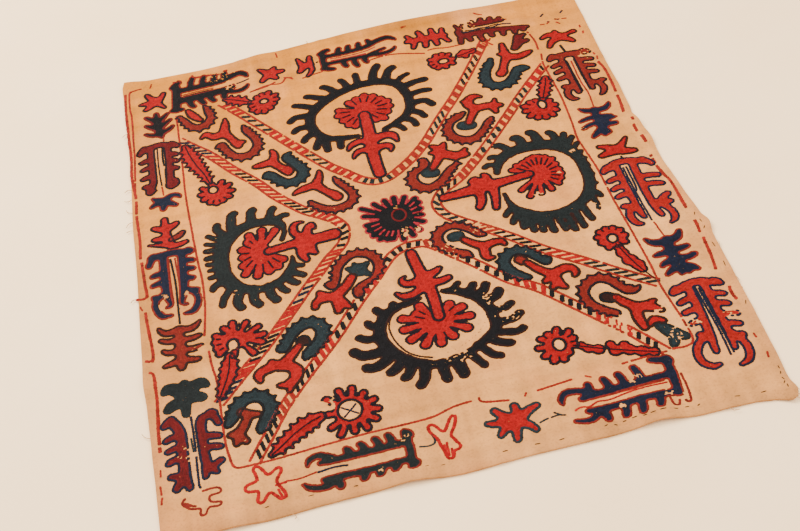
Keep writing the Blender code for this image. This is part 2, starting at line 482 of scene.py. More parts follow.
def thread_finish(name, colour):
    """Dyed, lightly twisted thread: each stitch takes the dye a little differently, and its darker and
    lighter steps are also painted shade between stitches and rows.
    """
    finish = bpy.data.materials.new(name + "_thread")
    finish.use_nodes = True
    tree = finish.node_tree
    shader = tree.nodes["Principled BSDF"]
    shader.inputs["Roughness"].default_value = 0.72
    shader.inputs["Specular IOR Level"].default_value = 0.1
    dye_and_painted_shade = add_node(tree, "ShaderNodeAttribute", attribute_name="dye_and_painted_shade")
    dye = np.array([((part / 255 + 0.055) / 1.055) ** 2.4 for part in colour])
    faded_and_lit = tuple(np.minimum(dye * 1.35 + 0.001, 1))
    # Darker and lighter stitches: dye, and painted shade between stitches and rows
    tone = ramp(tree, dye_and_painted_shade.outputs["Fac"], [(0.0, tuple(dye * 0.55)), (0.5, tuple(dye)), (1.0, faded_and_lit)])
    place = add_node(tree, "ShaderNodeTexCoord")
    hairs = add_node(tree, "ShaderNodeTexNoise", Scale=1500.0, Detail=2.0)
    tree.links.new(place.outputs["Object"], hairs.inputs["Vector"])
    tone = blend(tree, "MULTIPLY", 0.6, tone, ramp(tree, hairs.outputs["Fac"], [(0.3, 0.7), (0.65, 1.0)]))
    tree.links.new(tone, shader.inputs["Base Color"])
    turned = add_node(tree, "ShaderNodeMapping")
    turned.inputs["Rotation"].default_value = (0, 0, math.radians(35))
    twist = add_node(tree, "ShaderNodeTexWave", Scale=1.6, Distortion=0.6)
    tree.links.new(place.outputs["UV"], turned.inputs["Vector"])
    tree.links.new(turned.outputs["Vector"], twist.inputs["Vector"])
    relief = add_node(tree, "ShaderNodeBump", Strength=0.35, Distance=0.0002)
    tree.links.new(twist.outputs["Fac"], relief.inputs["Height"])
    tree.links.new(relief.outputs["Normal"], shader.inputs["Normal"])
    return finish


finishes = {name: thread_finish(name, colour) for name, (colour, slot) in THREADS.items()}

# One loop of the chain, modelled once: narrow where it comes up, wide in the middle and drawn in
# where the next loop holds it
bpy.ops.object.select_all(action="DESELECT")
bpy.ops.mesh.primitive_grid_add(x_subdivisions=2, y_subdivisions=4, size=2)
loop = bpy.context.object
LOOP_BREADTH = {-1: 0.86, 0: 1.1, 1: 0.74}
LOOP_RISE = {-1: 0.45, 0: 1.0, 1: 0.8}
LOOP_PROFILE = {-2: -0.3, -1: 1.0, 0: 0.3, 1: 1.0, 2: -0.3}
loop_points, loop_map = [], []
for vertex in loop.data.vertices:
    station, strand = round(vertex.co.x), round(vertex.co.y * 2)
    height = LOOP_PROFILE[strand] * (LOOP_RISE[station] if strand in (-1, 0, 1) else 1)
    loop_points.append((station * 0.64, strand / 4 * LOOP_BREADTH[station], height))
    loop_map.append(((station + 1) / 2, (strand + 2) / 4))
loop_points, loop_map = np.array(loop_points), np.array(loop_map)
loop_faces = np.array([list(face.vertices) for face in loop.data.polygons])
bpy.data.objects.remove(loop, do_unlink=True)


def sew(name):
    """Makes the stitches that wait into joined meshes, one for each kind of thread."""
    spread = np.random.RandomState(len(name) * 7 + 3)
    for slot in ("thread_red", "thread_dark", "cotton"):
        threads = [thread for thread in sewn if THREADS[thread][1] == slot and sewn[thread]]
        if not threads:
            continue
        rows = np.vstack([sewn[thread] for thread in threads])
        kinds = np.concatenate([[index] * len(sewn[thread]) for index, thread in enumerate(threads)])
        x, y, turn, length, width, lift = rows.T
        count = len(rows)
        turn = turn + spread.normal(0, 0.05, count)
        width = width * spread.normal(1, 0.06, count)
        x, y = x + spread.normal(0, 0.08, count), y + spread.normal(0, 0.08, count)
        along = loop_points[:, 0] * length[:, None]
        across = loop_points[:, 1] * width[:, None]
        px = x[:, None] + along * np.cos(turn)[:, None] - across * np.sin(turn)[:, None]
        py = y[:, None] + along * np.sin(turn)[:, None] + across * np.cos(turn)[:, None]
        pz = cloth_top(px, py) + lift[:, None]
        pz = pz + loop_points[:, 2] * THREAD_RISE * spread.normal(1, 0.08, count)[:, None]
        points = np.stack([px - MIDDLE_X, py - MIDDLE_Y, pz], 2).reshape(-1, 3) / 1000
        faces = (loop_faces[None] + (np.arange(count) * len(loop_points))[:, None, None]).reshape(-1, 4)
        mesh = bpy.data.meshes.new(name + "_" + slot.replace("thread_", ""))
        mesh.vertices.add(len(points))
        mesh.vertices.foreach_set("co", points.ravel())
        mesh.loops.add(faces.size)
        mesh.loops.foreach_set("vertex_index", faces.ravel())
        mesh.polygons.add(len(faces))
        mesh.polygons.foreach_set("loop_start", np.arange(len(faces)) * 4)
        mesh.polygons.foreach_set("material_index", np.repeat(kinds, len(loop_faces)))
        mesh.polygons.foreach_set("use_smooth", np.ones(len(faces), bool))
        mesh.update(calc_edges=True)
        # Each stitch's tone: a slow drift across the panel for dye lots, and a random step that is dye
        # and also painted shade between stitches and rows
        drift = np.sin(x * 0.09 + y * 0.05) * np.sin(y * 0.11 - x * 0.03)
        dye_and_painted_shade = np.clip(0.5 + 0.1 * drift + spread.normal(0, 0.2, count), 0, 1)
        tint = mesh.attributes.new("dye_and_painted_shade", "FLOAT", "POINT")
        tint.data.foreach_set("value", np.repeat(dye_and_painted_shade, len(loop_points)))
        places = mesh.uv_layers.new(name="UVMap")
        places.data.foreach_set("uv", loop_map[faces.ravel() % len(loop_points)].ravel())
        piece = bpy.data.objects.new(mesh.name, mesh)
        scene.collection.objects.link(piece)
        for thread in threads:
            mesh.materials.append(finishes[thread])
        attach(piece, "root")
    sewn.clear()


FRAME_LINES = (
    ((-302.5, 333), (-303.5, 300), (-302.5, 250), (-301.5, 200), (-302.5, 165), (-299.5, 125)),
    ((-280, 339), (-291, 337), (-296, 333), (-297, 300), (-295.5, 280), (-296, 200), (-299, 128)),
    ((-299.5, 120), (-300.5, 90), (-299, 55), (-300, 21)),
    ((-299, 15), (-297.5, -20), (-297, -42), (-308, -41)),
    ((-298, -64), (-296.5, -90), (-294, -120), (-295, -135), (-302, -133)),
    ((-300, -151), (-296, -155), (-295, -190), (-296, -225), (-296, -255)),
    ((-240, 268), (-240, 175), (-240.5, 110), (-238.5, 50), (-236, -5), (-234, -30), (-234, -60),
     (-235.5, -85), (-239, -115)),
    ((-236.5, -137), (-235, -160), (-232, -185), (-232, -250), (-230, -275), (-226, -291),
     (-215, -293), (-180, -292), (-140, -289), (-100, -287), (-50, -286.5), (-30, -285),
     (-10, -279), (8, -277)),
    ((16, -275), (18, -281), (43, -286)),
    ((72, -282), (90, -280), (108, -278)),
    ((160, -273), (185, -271), (207, -270)),
    ((213, -269), (235, -266), (236, -235), (234, -215), (231, -185), (231, -150), (229, -100),
     (226, -40), (225, 10), (221, 50), (219.5, 70), (222, 100), (224, 150), (222, 200), (222, 222),
     (225, 240)),
    ((224, 250), (225, 270), (221, 292)),
    ((-142, 287), (-125, 290), (-110, 296)),
    ((-98, 302), (-88, 298)),
    ((-75, 292), (-62, 295), (-48, 297)),
    ((10, 299), (30, 303), (50, 302), (70, 296), (85, 291)),
    ((90, 296), (100, 297), (115, 294), (137, 294)),
    ((287, 200), (290, 178), (288.5, 135)),
    ((288, 128), (287, 112), (285, 95)),
    ((289, 78), (289, 73)),
    ((287.5, 67), (288.5, 57)),
    ((290, 47), (291, 33)),
    ((-239, 340), (-228, 338)), ((-213, 346), (-212, 341), (-195, 340), (-178, 338)),
    ((-144, 286), (-120, 293), (-103, 291), (-95, 301), (-87, 295)),
    ((289, 12), (289, -5), (291, -22), (295, -38), (296, -83)),
    ((297, -105), (296, -124)),
    ((297, -131), (295, -160), (292, -180)),
    ((296, -206), (295, -215), (297, -228)),
)
FRAME_SPECKS = (
    # x, y, length, turn
    (-268, 341, 8, 70), (60, -283.5, 5, 60), (124, -279, 6, 150), (288, 280, 5, 90),
    (288, 266, 5, 80), (287, 217, 5, 100), (288, 207, 6, 80), (297, -302, 7, 80),
    (295, -275, 6, 95), (-296, -280, 8, 88), (-297, -300, 10, 92), (-297, -312, 8, 80),
    (-302, -57, 7, 110), (70, 355, 7, 10), (-101, 352, 9, 95), (-170, 342, 5, 5),
    (170, 352, 12, 150),
)

for line in FRAME_LINES:
    inward = 1.3 if line[0][0] < -298 else 0
    width = 4.2 if abs(line[0][0]) > 285 else 3.1
    run([(x + inward, y) for x, y in line], "brick", step=3, width=width, stitch=3.2, loss=0.02)
for speck in FRAME_SPECKS:
    dash(*speck, "brick")
sew("frame_lines")

# Ladder bands
# Four long V-shaped bands that part the field: two brick-red rows of chain with short slanting
# bars of satin-like stitches between them, in runs of red and of dark thread.
BANDS = (
    # middle line, then runs of rungs: thread, count, where the run ends, how far a rung slants
    (
        ((-182, 276), (-160, 245), (-145, 222), (-130, 200), (-115, 177), (-100, 155), (-85, 133),
         (-70, 112), (-50, 90), (-35, 74), (-20, 67), (-5, 70), (10, 80), (30, 97), (50, 120),
         (65, 142), (85, 170), (100, 190), (120, 220), (140, 252), (160, 285), (168, 297)),
        (("bright_red", 4, -159, 242, 4), ("pine", 4, -130, 200, 9), ("bright_red", 6, -92, 144, 2),
         ("pine", 3, -73, 116, 9), ("bright_red", 5, -38, 77, 1), ("pine", 4, -2, 71, 0),
         ("brick", 7, 57, 130, 3), ("pine", 4, 82, 166, 11), ("brick", 4, 114, 211, 4),
         ("black", 5, 147, 263, 11), ("brick", 3, 168, 297, 4)),
    ),
    (
        ((-240, 218), (-225, 200), (-205, 177), (-180, 140), (-157, 110), (-137, 78), (-110, 45),
         (-95, 33), (-80, 20), (-72, 8), (-70, 0), (-72, -13), (-78, -25), (-95, -43),
         (-110, -62), (-125, -80), (-152, -115), (-180, -150), (-207, -180), (-233, -210)),
        (("navy", 5, -206, 178, 12), ("bright_red", 5, -178, 137, 12), ("black", 3, -158, 111, 12),
         ("bright_red", 6, -128, 66, 11), ("black", 4, -102, 38, 12), ("bright_red", 5, -72, 9, 4),
         ("black", 4, -80, -28, -5), ("bright_red", 7, -119, -73, -10), ("navy", 3, -139, -99, -11),
         ("bright_red", 6, -164, -131, -11), ("black", 5, -192, -163, -11),
         ("bright_red", 4, -210, -184, -11), ("navy", 4, -232, -208, -11)),
    ),
    (
        ((223, 217), (200, 191), (180, 168), (150, 130), (110, 82), (75, 45), (50, 28), (40, 15),
         (37, 5), (42, -10), (55, -25), (100, -65), (130, -96), (168, -128), (200, -156),
         (230, -180)),
        (("black", 1, 217, 210, 7), ("bright_red", 3, 190, 180, 4), ("pine", 3, 170, 156, 7),
         ("brick", 4, 141, 119, 4), ("pine", 4, 107, 78, 7), ("brick", 5, 71, 42, 4),
         ("black", 3, 46, 24, 9), ("pine", 6, 62, -31, 8), ("brick", 4, 88, -54, 10),
         ("black", 6, 136, -101, 11), ("bright_red", 4, 168, -128, 12), ("pine", 7, 230, -180, 13)),
    ),
    (
        ((-207, -291), (-190, -264), (-170, -232), (-140, -195), (-105, -155), (-75, -115),
         (-50, -85), (-30, -60), (-15, -50), (-2, -48), (15, -52), (40, -78), (60, -100),
         (85, -130), (110, -150), (140, -185), (165, -215), (185, -240), (207, -271)),
        (("black", 5, -179, -247, 9), ("brick", 4, -157, -216, 6), ("black", 4, -133, -187, 9),
         ("bright_red", 4, -109, -160, 6), ("black", 5, -66, -104, 9), ("bright_red", 4, -35, -66, 6),
         ("black", 5, 7, -50, 2), ("brick", 5, 44, -83, -6), ("black", 5, 86, -131, -6),
         ("bright_red", 4, 117, -159, -6), ("black", 5, 153, -201, -6), ("bright_red", 5, 184, -239, -6),
         ("black", 3, 202, -264, -6)),
    ),
)

SIDE_LINE = 5.3
RUNG_REACH = 4.3
SATIN_PITCH = 1.5

for middle, groups in BANDS:
    path = smooth([(x, y, 0) for x, y in middle], step=2)[:, :2]
    turn = np.gradient(path, axis=0)
    turn /= np.hypot(*turn.T)[:, None]
    side = np.stack([-turn[:, 1], turn[:, 0]], 1)
    along = np.concatenate([[0], np.cumsum(np.hypot(*np.diff(path, axis=0).T))])
    for offset in (-SIDE_LINE, SIDE_LINE):
        lay(path + side * offset, "brick", width=3.6, stitch=3.0, loss=0.02)
    done = 3.0
    for thread, count, x, y, slant in groups:
        end = along[np.hypot(path[:, 0] - x, path[:, 1] - y).argmin()]
        for number in range(count):
            here = done + (end - done) * (number + 0.5) / count + draws.uniform(-0.6, 0.6)
            at = int(np.searchsorted(along, here).clip(0, len(path) - 1))
            half = side[at] * RUNG_REACH + turn[at] * slant * 0.5
            dark = THREADS[thread][1] == "thread_dark"
            apart = (end - done) / count * RUNG_REACH / np.hypot(*half)
            thick = max(0.9, (0.52 if dark else 0.62) * apart / 2 - 0.9)
            across = np.array([-half[1], half[0]]) / np.hypot(*half)
            for shift in np.linspace(-thick, thick, max(2, round(thick * 2 / SATIN_PITCH) + 1)):
                reach = (1 - 0.1 * abs(shift)) if dark else 1.04
                spot = path[at] + across * shift
                lay([spot - half * reach, spot + half * reach], thread, width=2.5, stitch=3.4)
        done = end
sew("ladder_bands")

# Large flowers
# Four toothed rings, each round a rosette on a horned stem, and a rosette in the middle of the
# panel. Every shape is outlined with a row of chain and filled with rows that follow its edge.
CELL = 0.8
EDGE_DEPTH = 0.35
FILL_DEPTH = 0.62


def depth_map(strokes, holes, blend, wobble, cell):
    """How far each point of a fine grid lies outside the joined strokes, in millimetres."""
    every = np.vstack(strokes)
    margin = every[:, 2].max() + 3
    low = np.floor(every[:, :2].min(0) - margin)
    size = np.ceil((every[:, :2].max(0) + margin - low) / cell).astype(int) + 1
    across, up = np.meshgrid(low[0] + cell * np.arange(size[0]), low[1] + cell * np.arange(size[1]))
    depth = np.full(across.shape, 20.0)
    for stroke in strokes:
        reach = stroke[:, 2].max() + 4
        first = np.maximum(((stroke[:, :2].min(0) - reach - low) / cell).astype(int), 0)
        last = ((stroke[:, :2].max(0) + reach - low) / cell).astype(int) + 2
        window = (slice(first[1], last[1]), slice(first[0], last[0]))
        x, y = across[window], up[window]
        best = np.full(x.shape, 20.0)
        for (ax, ay, ar), (bx, by, br) in zip(stroke, stroke[1:]):
            dx, dy = bx - ax, by - ay
            part = np.clip(((x - ax) * dx + (y - ay) * dy) / (dx * dx + dy * dy + 1e-9), 0, 1)
            best = np.minimum(best, np.hypot(x - ax - dx * part, y - ay - dy * part)
                              - ar - (br - ar) * part)
        old = depth[window]
        share = np.clip(0.5 + 0.5 * (old - best) / blend, 0, 1)
        depth[window] = old * (1 - share) + best * share - blend * share * (1 - share)
    for x, y, wide, tall in holes:
        ring = (1 - np.hypot((across - x) / wide, (up - y) / tall)) * min(wide, tall)
        depth = np.maximum(depth, ring)
    for wave in range(4):
        angle, pace = draws.uniform(0, 6.3), draws.uniform(0.35, 0.9)
        depth += wobble / 4 * np.sin((across * math.cos(angle) + up * math.sin(angle)) * pace
                                     + draws.uniform(0, 6.3))
    return depth, low


def trace(depth, level, low, cell):
    """The closed lines along which the grid passes a level."""
    inside = depth < level
    tall, wide = depth.shape
    with np.errstate(divide="ignore", invalid="ignore"):
        flat = (level - depth[:, :-1]) / (depth[:, 1:] - depth[:, :-1])
        steep = (level - depth[:-1]) / (depth[1:] - depth[:-1])
    count = inside[:-1, :-1].astype(int) + inside[:-1, 1:] + inside[1:, :-1] + inside[1:, 1:]
    joined = {}
    for row, column in zip(*np.nonzero((count > 0) & (count < 4))):
        a, b = inside[row, column], inside[row, column + 1]
        c, d = inside[row + 1, column], inside[row + 1, column + 1]
        ends = []
        if a != b:
            ends.append((0, row, column))
        if b != d:
            ends.append((1, row, column + 1))
        if c != d:
            ends.append((0, row + 1, column))
        if a != c:
            ends.append((1, row, column))
        for first, second in zip(ends[::2], ends[1::2]):
            joined.setdefault(first, []).append(second)
            joined.setdefault(second, []).append(first)
    lines, used = [], set()
    for start in joined:
        if start in used:
            continue
        line, here = [], start
        while here is not None:
            used.add(here)
            kind, row, column = here
            if kind == 0:
                line.append((column + flat[row, column], row))
            else:
                line.append((column, row + steep[row, column]))
            here = next((other for other in joined[here] if other not in used), None)
        if len(line) > 5:
            lines.append(low + cell * np.array(line, float))
    return lines


def inner_depth(depth, edge, low, cell):
    """The same grid with the true distance to the edge, inside the shape only."""
    rows, columns = np.nonzero(depth < 0)
    x, y = (low[0] + cell * columns).astype(np.float32), (low[1] + cell * rows).astype(np.float32)
    points = np.vstack([line[::1] for line in edge]).astype(np.float32)
    away = np.empty(len(x), np.float32)
    lump = max(1, 3_000_000 // len(points))
    for start in range(0, len(x), lump):
        part = slice(start, start + lump)
        gap = (x[part, None] - points[:, 0]) ** 2 + (y[part, None] - points[:, 1]) ** 2
        away[part] = np.sqrt(gap.min(1))
    out = np.full(depth.shape, 1.0)
    out[rows, columns] = -away
    return out


def fill_middle(inner, low, thread, lift, rim, start):
    """Short stitches along the middle of a shape, wherever the last rows leave a gap."""
    deep = -inner
    steep = np.hypot(*np.gradient(inner, CELL))
    past = np.where(deep < start, deep - rim * 0.4, (deep - start) % ROW_PITCH)
    spots = np.argwhere((steep < 0.86) & (past > 0.5))
    spots = low + CELL * spots[:, ::-1]
    taken = np.empty((0, 2))
    rows = sewn.setdefault(thread, [])
    for spot in spots:
        if len(taken) and np.hypot(*(taken - spot).T).min() < 2.2:
            continue
        taken = np.vstack([taken, spot])
        near = spots[np.hypot(*(spots - spot).T) < 3.2]
        spread = near - near.mean(0)
        turn = 0.5 * math.atan2(2 * (spread[:, 0] * spread[:, 1]).sum(),
                                (spread[:, 0] ** 2).sum() - (spread[:, 1] ** 2).sum())
        if draws.random() >= worn_at(*spot):
            rows.append((spot[0], spot[1], turn, 3.0, 2.6, lift + 0.1))


def motif(strokes, fill, edge, holes=(), blend=1.6, wobble=0.35, lift=0.0, rim=3.6):
    """Works a shape in chain stitch: rows along its edge, then rows inside it one after another."""
    strokes = [smooth(stroke) for stroke in strokes]
    depth, low = depth_map(strokes, holes, blend, wobble, CELL)
    outline = trace(depth, 0.0, low, CELL)
    if not outline:
        return
    inner = inner_depth(depth, outline, low, CELL)
    for line in trace(inner, -rim * EDGE_DEPTH, low, CELL):
        lay(line, edge, closed=True, width=rim, stitch=2.7, lift=lift + 0.25, rough=0.16)
    if fill:
        start = rim * FILL_DEPTH + 0.9
        for level in np.arange(start, -inner.min() - 0.1, ROW_PITCH):
            for line in trace(inner, -level, low, CELL):
                lay(line, fill, closed=True, lift=lift)
        fill_middle(inner, low, fill, lift, rim, start)


def ray(start, end, root, tip, bend=0.0):
    """A stroke from one point to another that bows to its left by a share of its length."""
    (ax, ay), (bx, by) = start, end
    side = (ay - by) * bend, (bx - ax) * bend
    return ((ax, ay, root), ((ax + bx) / 2 + side[0], (ay + by) / 2 + side[1], (root + tip) / 2),
            (bx, by, tip))


def petals(centre, tips, root, tip, disc):
    """Round-ended petals from one centre, each as far as its tip."""
    x, y = centre
    strokes = [((x, y, disc), (x + 0.1, y, disc))]
    for end_x, end_y in tips:
        back = 1 - tip / math.hypot(end_x - x, end_y - y)
        strokes.append(ray(centre, (x + (end_x - x) * back, y + (end_y - y) * back), root, tip))
    return strokes


WIDEST_GAP = 0.64


def divide(centre, tips, inner=0.6, thread="plum"):
    """Short rows of thread that part each petal from the next, but not across a wide gap."""
    x, y = centre
    spokes = sorted((math.atan2(ty - y, tx - x), math.hypot(tx - x, ty - y)) for tx, ty in tips)
    once_round = spokes[1:] + [(spokes[0][0] + 6.2832, spokes[0][1])]
    for (turn, reach), (after, further) in zip(spokes, once_round):
        if after - turn < WIDEST_GAP:
            middle, near, far = (turn + after) / 2, reach * inner, min(reach, further) * 0.78
            lay([(x + near * math.cos(middle), y + near * math.sin(middle)),
                 (x + far * math.cos(middle), y + far * math.sin(middle))], thread, lift=0.7, width=2.3)


CLAW_ROOT = 1.1
CLAW_TIP = 0.96


def claws(rows):
    """Curved, blunt teeth; a row is root, knee and tip, or root and tip, and the half width."""
    strokes = []
    for row in rows:
        points, half = row[:-1], row[-1]
        if len(points) == 4:
            points = points[:2] + ((points[0] + points[2]) / 2, (points[1] + points[3]) / 2) + points[2:]
        rx, ry, kx, ky, tx, ty = points
        kx, ky = kx * 0.65 + (rx + tx) * 0.175, ky * 0.65 + (ry + ty) * 0.175
        back = half * CLAW_TIP / max(math.hypot(tx - kx, ty - ky), half)
        tx, ty = tx + (kx - tx) * back, ty + (ky - ty) * back
        strokes.append(((rx, ry, half * CLAW_ROOT), (kx, ky, half), (tx, ty, half * CLAW_TIP)))
    return strokes


RINGS = (
    dict(
        fill="black", edge="brown",
        path=((-27, 154.5, 4), (-45, 157, 5), (-60, 161, 5.5), (-70, 170, 6), (-77, 183, 6.5),
              (-79, 198, 6.5), (-76, 212, 6.5), (-66, 226, 7), (-50, 239, 7), (-32, 248, 6.5),
              (-12, 253, 6.5), (8, 254, 6.5), (25, 250, 7), (37, 241, 7), (43, 228, 6.5),
              (46, 213, 6), (46, 198, 6), (43, 185, 6), (36, 175, 5.5), (24, 166, 5),
              (12, 160, 4), (6, 155, 4)),
        teeth=((-49, 156, -50.5, 136.5, 4.8), (-66, 163, -66.5, 136, 5.2),
               (-71, 165, -77, 156, -80.5, 144.5, 5), (-79, 178, -88, 173, -94.5, 162.5, 5),
               (-82, 192, -95, 195, -104, 184.5, 5), (-77, 213, -95, 218, -107, 206, 5.2),
               (-68, 225, -82, 235, -97, 240, 5), (-53, 240, -68, 249, -80, 253.5, 5),
               (-39, 249, -47, 262, -57, 267.5, 5), (-22, 253, -26, 268, -32, 274.5, 4.6),
               (-9, 255, -9, 281, 4.6), (10, 257, 13, 276, 24, 290, 5.6),
               (26, 253, 30, 270, 43, 280, 5.6), (38, 244, 46, 253, 58, 258, 3.8),
               (45, 232, 62, 239, 78.5, 238, 5.2), (46, 213, 63, 218, 78.5, 215, 4.8),
               (46, 196, 66, 200, 75, 182, 5.2), (42, 182, 54, 177, 60, 162.5, 4.8),
               (33, 170, 43, 165, 46, 149.5, 4.8), (18, 162, 26, 159, 30.5, 146, 4.2),
               (7, 158, 4.5, 147, 3.5))),
    dict(
        fill="pine", edge="brown",
        path=((-141, 4, 3.2), (-137, 13, 3), (-136.5, 23, 3.5), (-141, 33, 6), (-155, 39, 6.5),
              (-170, 40, 7), (-185, 36, 7.5), (-197, 27, 9), (-206, 14, 9.5), (-210, 0, 9.5),
              (-211, -15, 9.5), (-210, -30, 9.5), (-205, -44, 9), (-197, -55, 8),
              (-185, -62, 6.5), (-170, -65, 5.5), (-156, -62, 5.5), (-145, -55, 6),
              (-138, -46, 6), (-134, -36, 4), (-133, -25, 2)),
        teeth=((-143, 40, -133, 45, -126, 43, 4.4), (-150, 42, -148, 56, -141, 62.5, 5),
               (-171, 45, -171, 61, -164, 68, 5.6), (-194, 40, -194, 60, -186, 68.5, 5.8),
               (-204, 32, -213, 44, -209, 54.5, 5), (-211, 27, -225, 37, 3.8),
               (-214, 19, -228, 23.5, 3.4), (-214, 10, -229.5, 12, 4.3), (-214, 0, -230, -1, 4.6),
               (-214, -11, -229.5, -10, 3.8), (-214, -20, -228, -20.5, 3.2),
               (-214, -31, -228.5, -31.5, 3.8), (-213, -42, -222, -45, -226, -54, 4.8),
               (-205, -55, -214, -66, -217, -81, 4.4), (-195, -61, -202, -76, -195, -91, 5.6),
               (-180, -63, -184, -80, -175, -92, 5.6), (-164, -63, -165, -78, -155.5, -91, 5.6),
               (-155, -60, -150, -74, -142.5, -80, 4.6), (-145, -55, -138, -65, -130, -71, 4.6),
               (-139, -48, -128, -56, -121, -60, 4.6), (-135, -40, -120.5, -43.5, 3.8))),
    dict(
        fill="pine", edge="brown",
        path=((115, 37, 4), (118, 47, 5), (124, 57, 6.5), (134, 65, 7.5), (150, 69.5, 8),
              (168, 70, 8.5), (186, 66, 9), (199, 57, 9), (207, 45, 8), (211, 30, 7), (212, 12, 7),
              (211, -6, 7), (206, -22, 7), (197, -34, 7), (185, -42, 6.5), (170, -47, 6),
              (155, -48, 6), (141, -45, 6.5), (128, -37, 7), (119, -26, 5), (115, -12, 3.2),
              (114, 0, 2.6)),
        teeth=((119, 50, 108, 55, 100.5, 48.5, 4.2), (125, 61, 117, 67, 109.5, 64, 4.4),
               (137, 73, 130, 86, 120, 83, 5), (156, 77, 155, 92, 143.5, 91, 6),
               (175, 78, 174, 93, 165, 98.5, 6), (195, 72, 195, 86, 187, 91.5, 5),
               (202, 68, 208, 84, 4.6), (207, 62, 216, 75, 4.2), (210, 52, 219, 62, 3.6),
               (211, 40, 219.5, 46, 3.2), (212, 28, 220.5, 33, 3), (213, 16, 220.5, 19, 2.8),
               (213, 2, 220.5, 3, 3), (211, -12, 219.5, -14, 3), (208, -24, 215, -31, 216, -38.5, 4),
               (205, -30, 208, -44, 205, -58, 3.6), (190, -45, 196, -72, 4.6),
               (180, -48, 184, -81, 4.6), (170, -50, 173.5, -82.5, 4.6), (160, -50, 164, -79, 4.6),
               (150, -50, 150.5, -78, 4.8), (141, -48, 139.5, -74, 4.6), (131, -44, 130, -71, 4.6),
               (124, -38, 120, -63, 4.6), (121, -34, 113, -43, 109.5, -52, 4.4),
               (117, -25, 109, -30, 104, -37.5, 4.2))),
    dict(
        fill="black", edge="brown",
        path=((-12, -128, 3.2), (-23, -132, 4.5), (-37, -134, 5), (-49, -140, 6), (-57, -151, 6.5),
              (-61, -164, 7), (-60, -179, 7), (-53, -194, 7), (-42, -207, 6.5), (-29, -216, 6),
              (-14, -222, 5.5), (4, -222, 5.5), (21, -216, 4.5), (35, -208, 4.5), (47, -200, 5.5),
              (55, -190, 6), (56, -177, 6), (55, -164, 6), (51, -153, 6.5), (45, -143, 6.5),
              (34, -134, 6), (23, -128, 5), (14, -126, 3.5)),
        teeth=((-20, -130, -13, -121, 3.4), (-38, -134, -43, -125.5, 5),
               (-50, -141, -58, -136, -61, -127, 5), (-57, -152, -69, -156, -73, -143.5, 4.8),
               (-60, -168, -73, -173, -87, -163, 5.2), (-60, -189, -82, -194, -96, -179.5, 6.4),
               (-55, -198, -72, -212, -88, -206, 6.2), (-46, -206, -53, -217, -65, -222, 5.8),
               (-37, -212, -41, -227, -52, -233, 5.6), (-26, -218, -27, -236, -38, -248, 5.8),
               (-9, -222, -7.5, -248.5, 5.8), (6, -222, 10.5, -247.5, 6.6),
               (20, -216, 34, -240, 4.8), (32, -209, 42, -227, 54, -231, 4.8),
               (43, -203, 57, -215, 69, -216.5, 5.2), (53, -197, 74, -205, 85.5, -198, 4.8),
               (57, -186, 76, -186, 87, -176.5, 5), (56, -168, 69, -170, 82, -161, 4.6),
               (52, -153, 66, -151, 74, -138, 6), (45, -143, 57, -138, 61.5, -125, 5.4),
               (37, -136, 45, -130, 49, -121.5, 5), (22, -127, 28, -123, 34.5, -116.5, 3.6))),
)
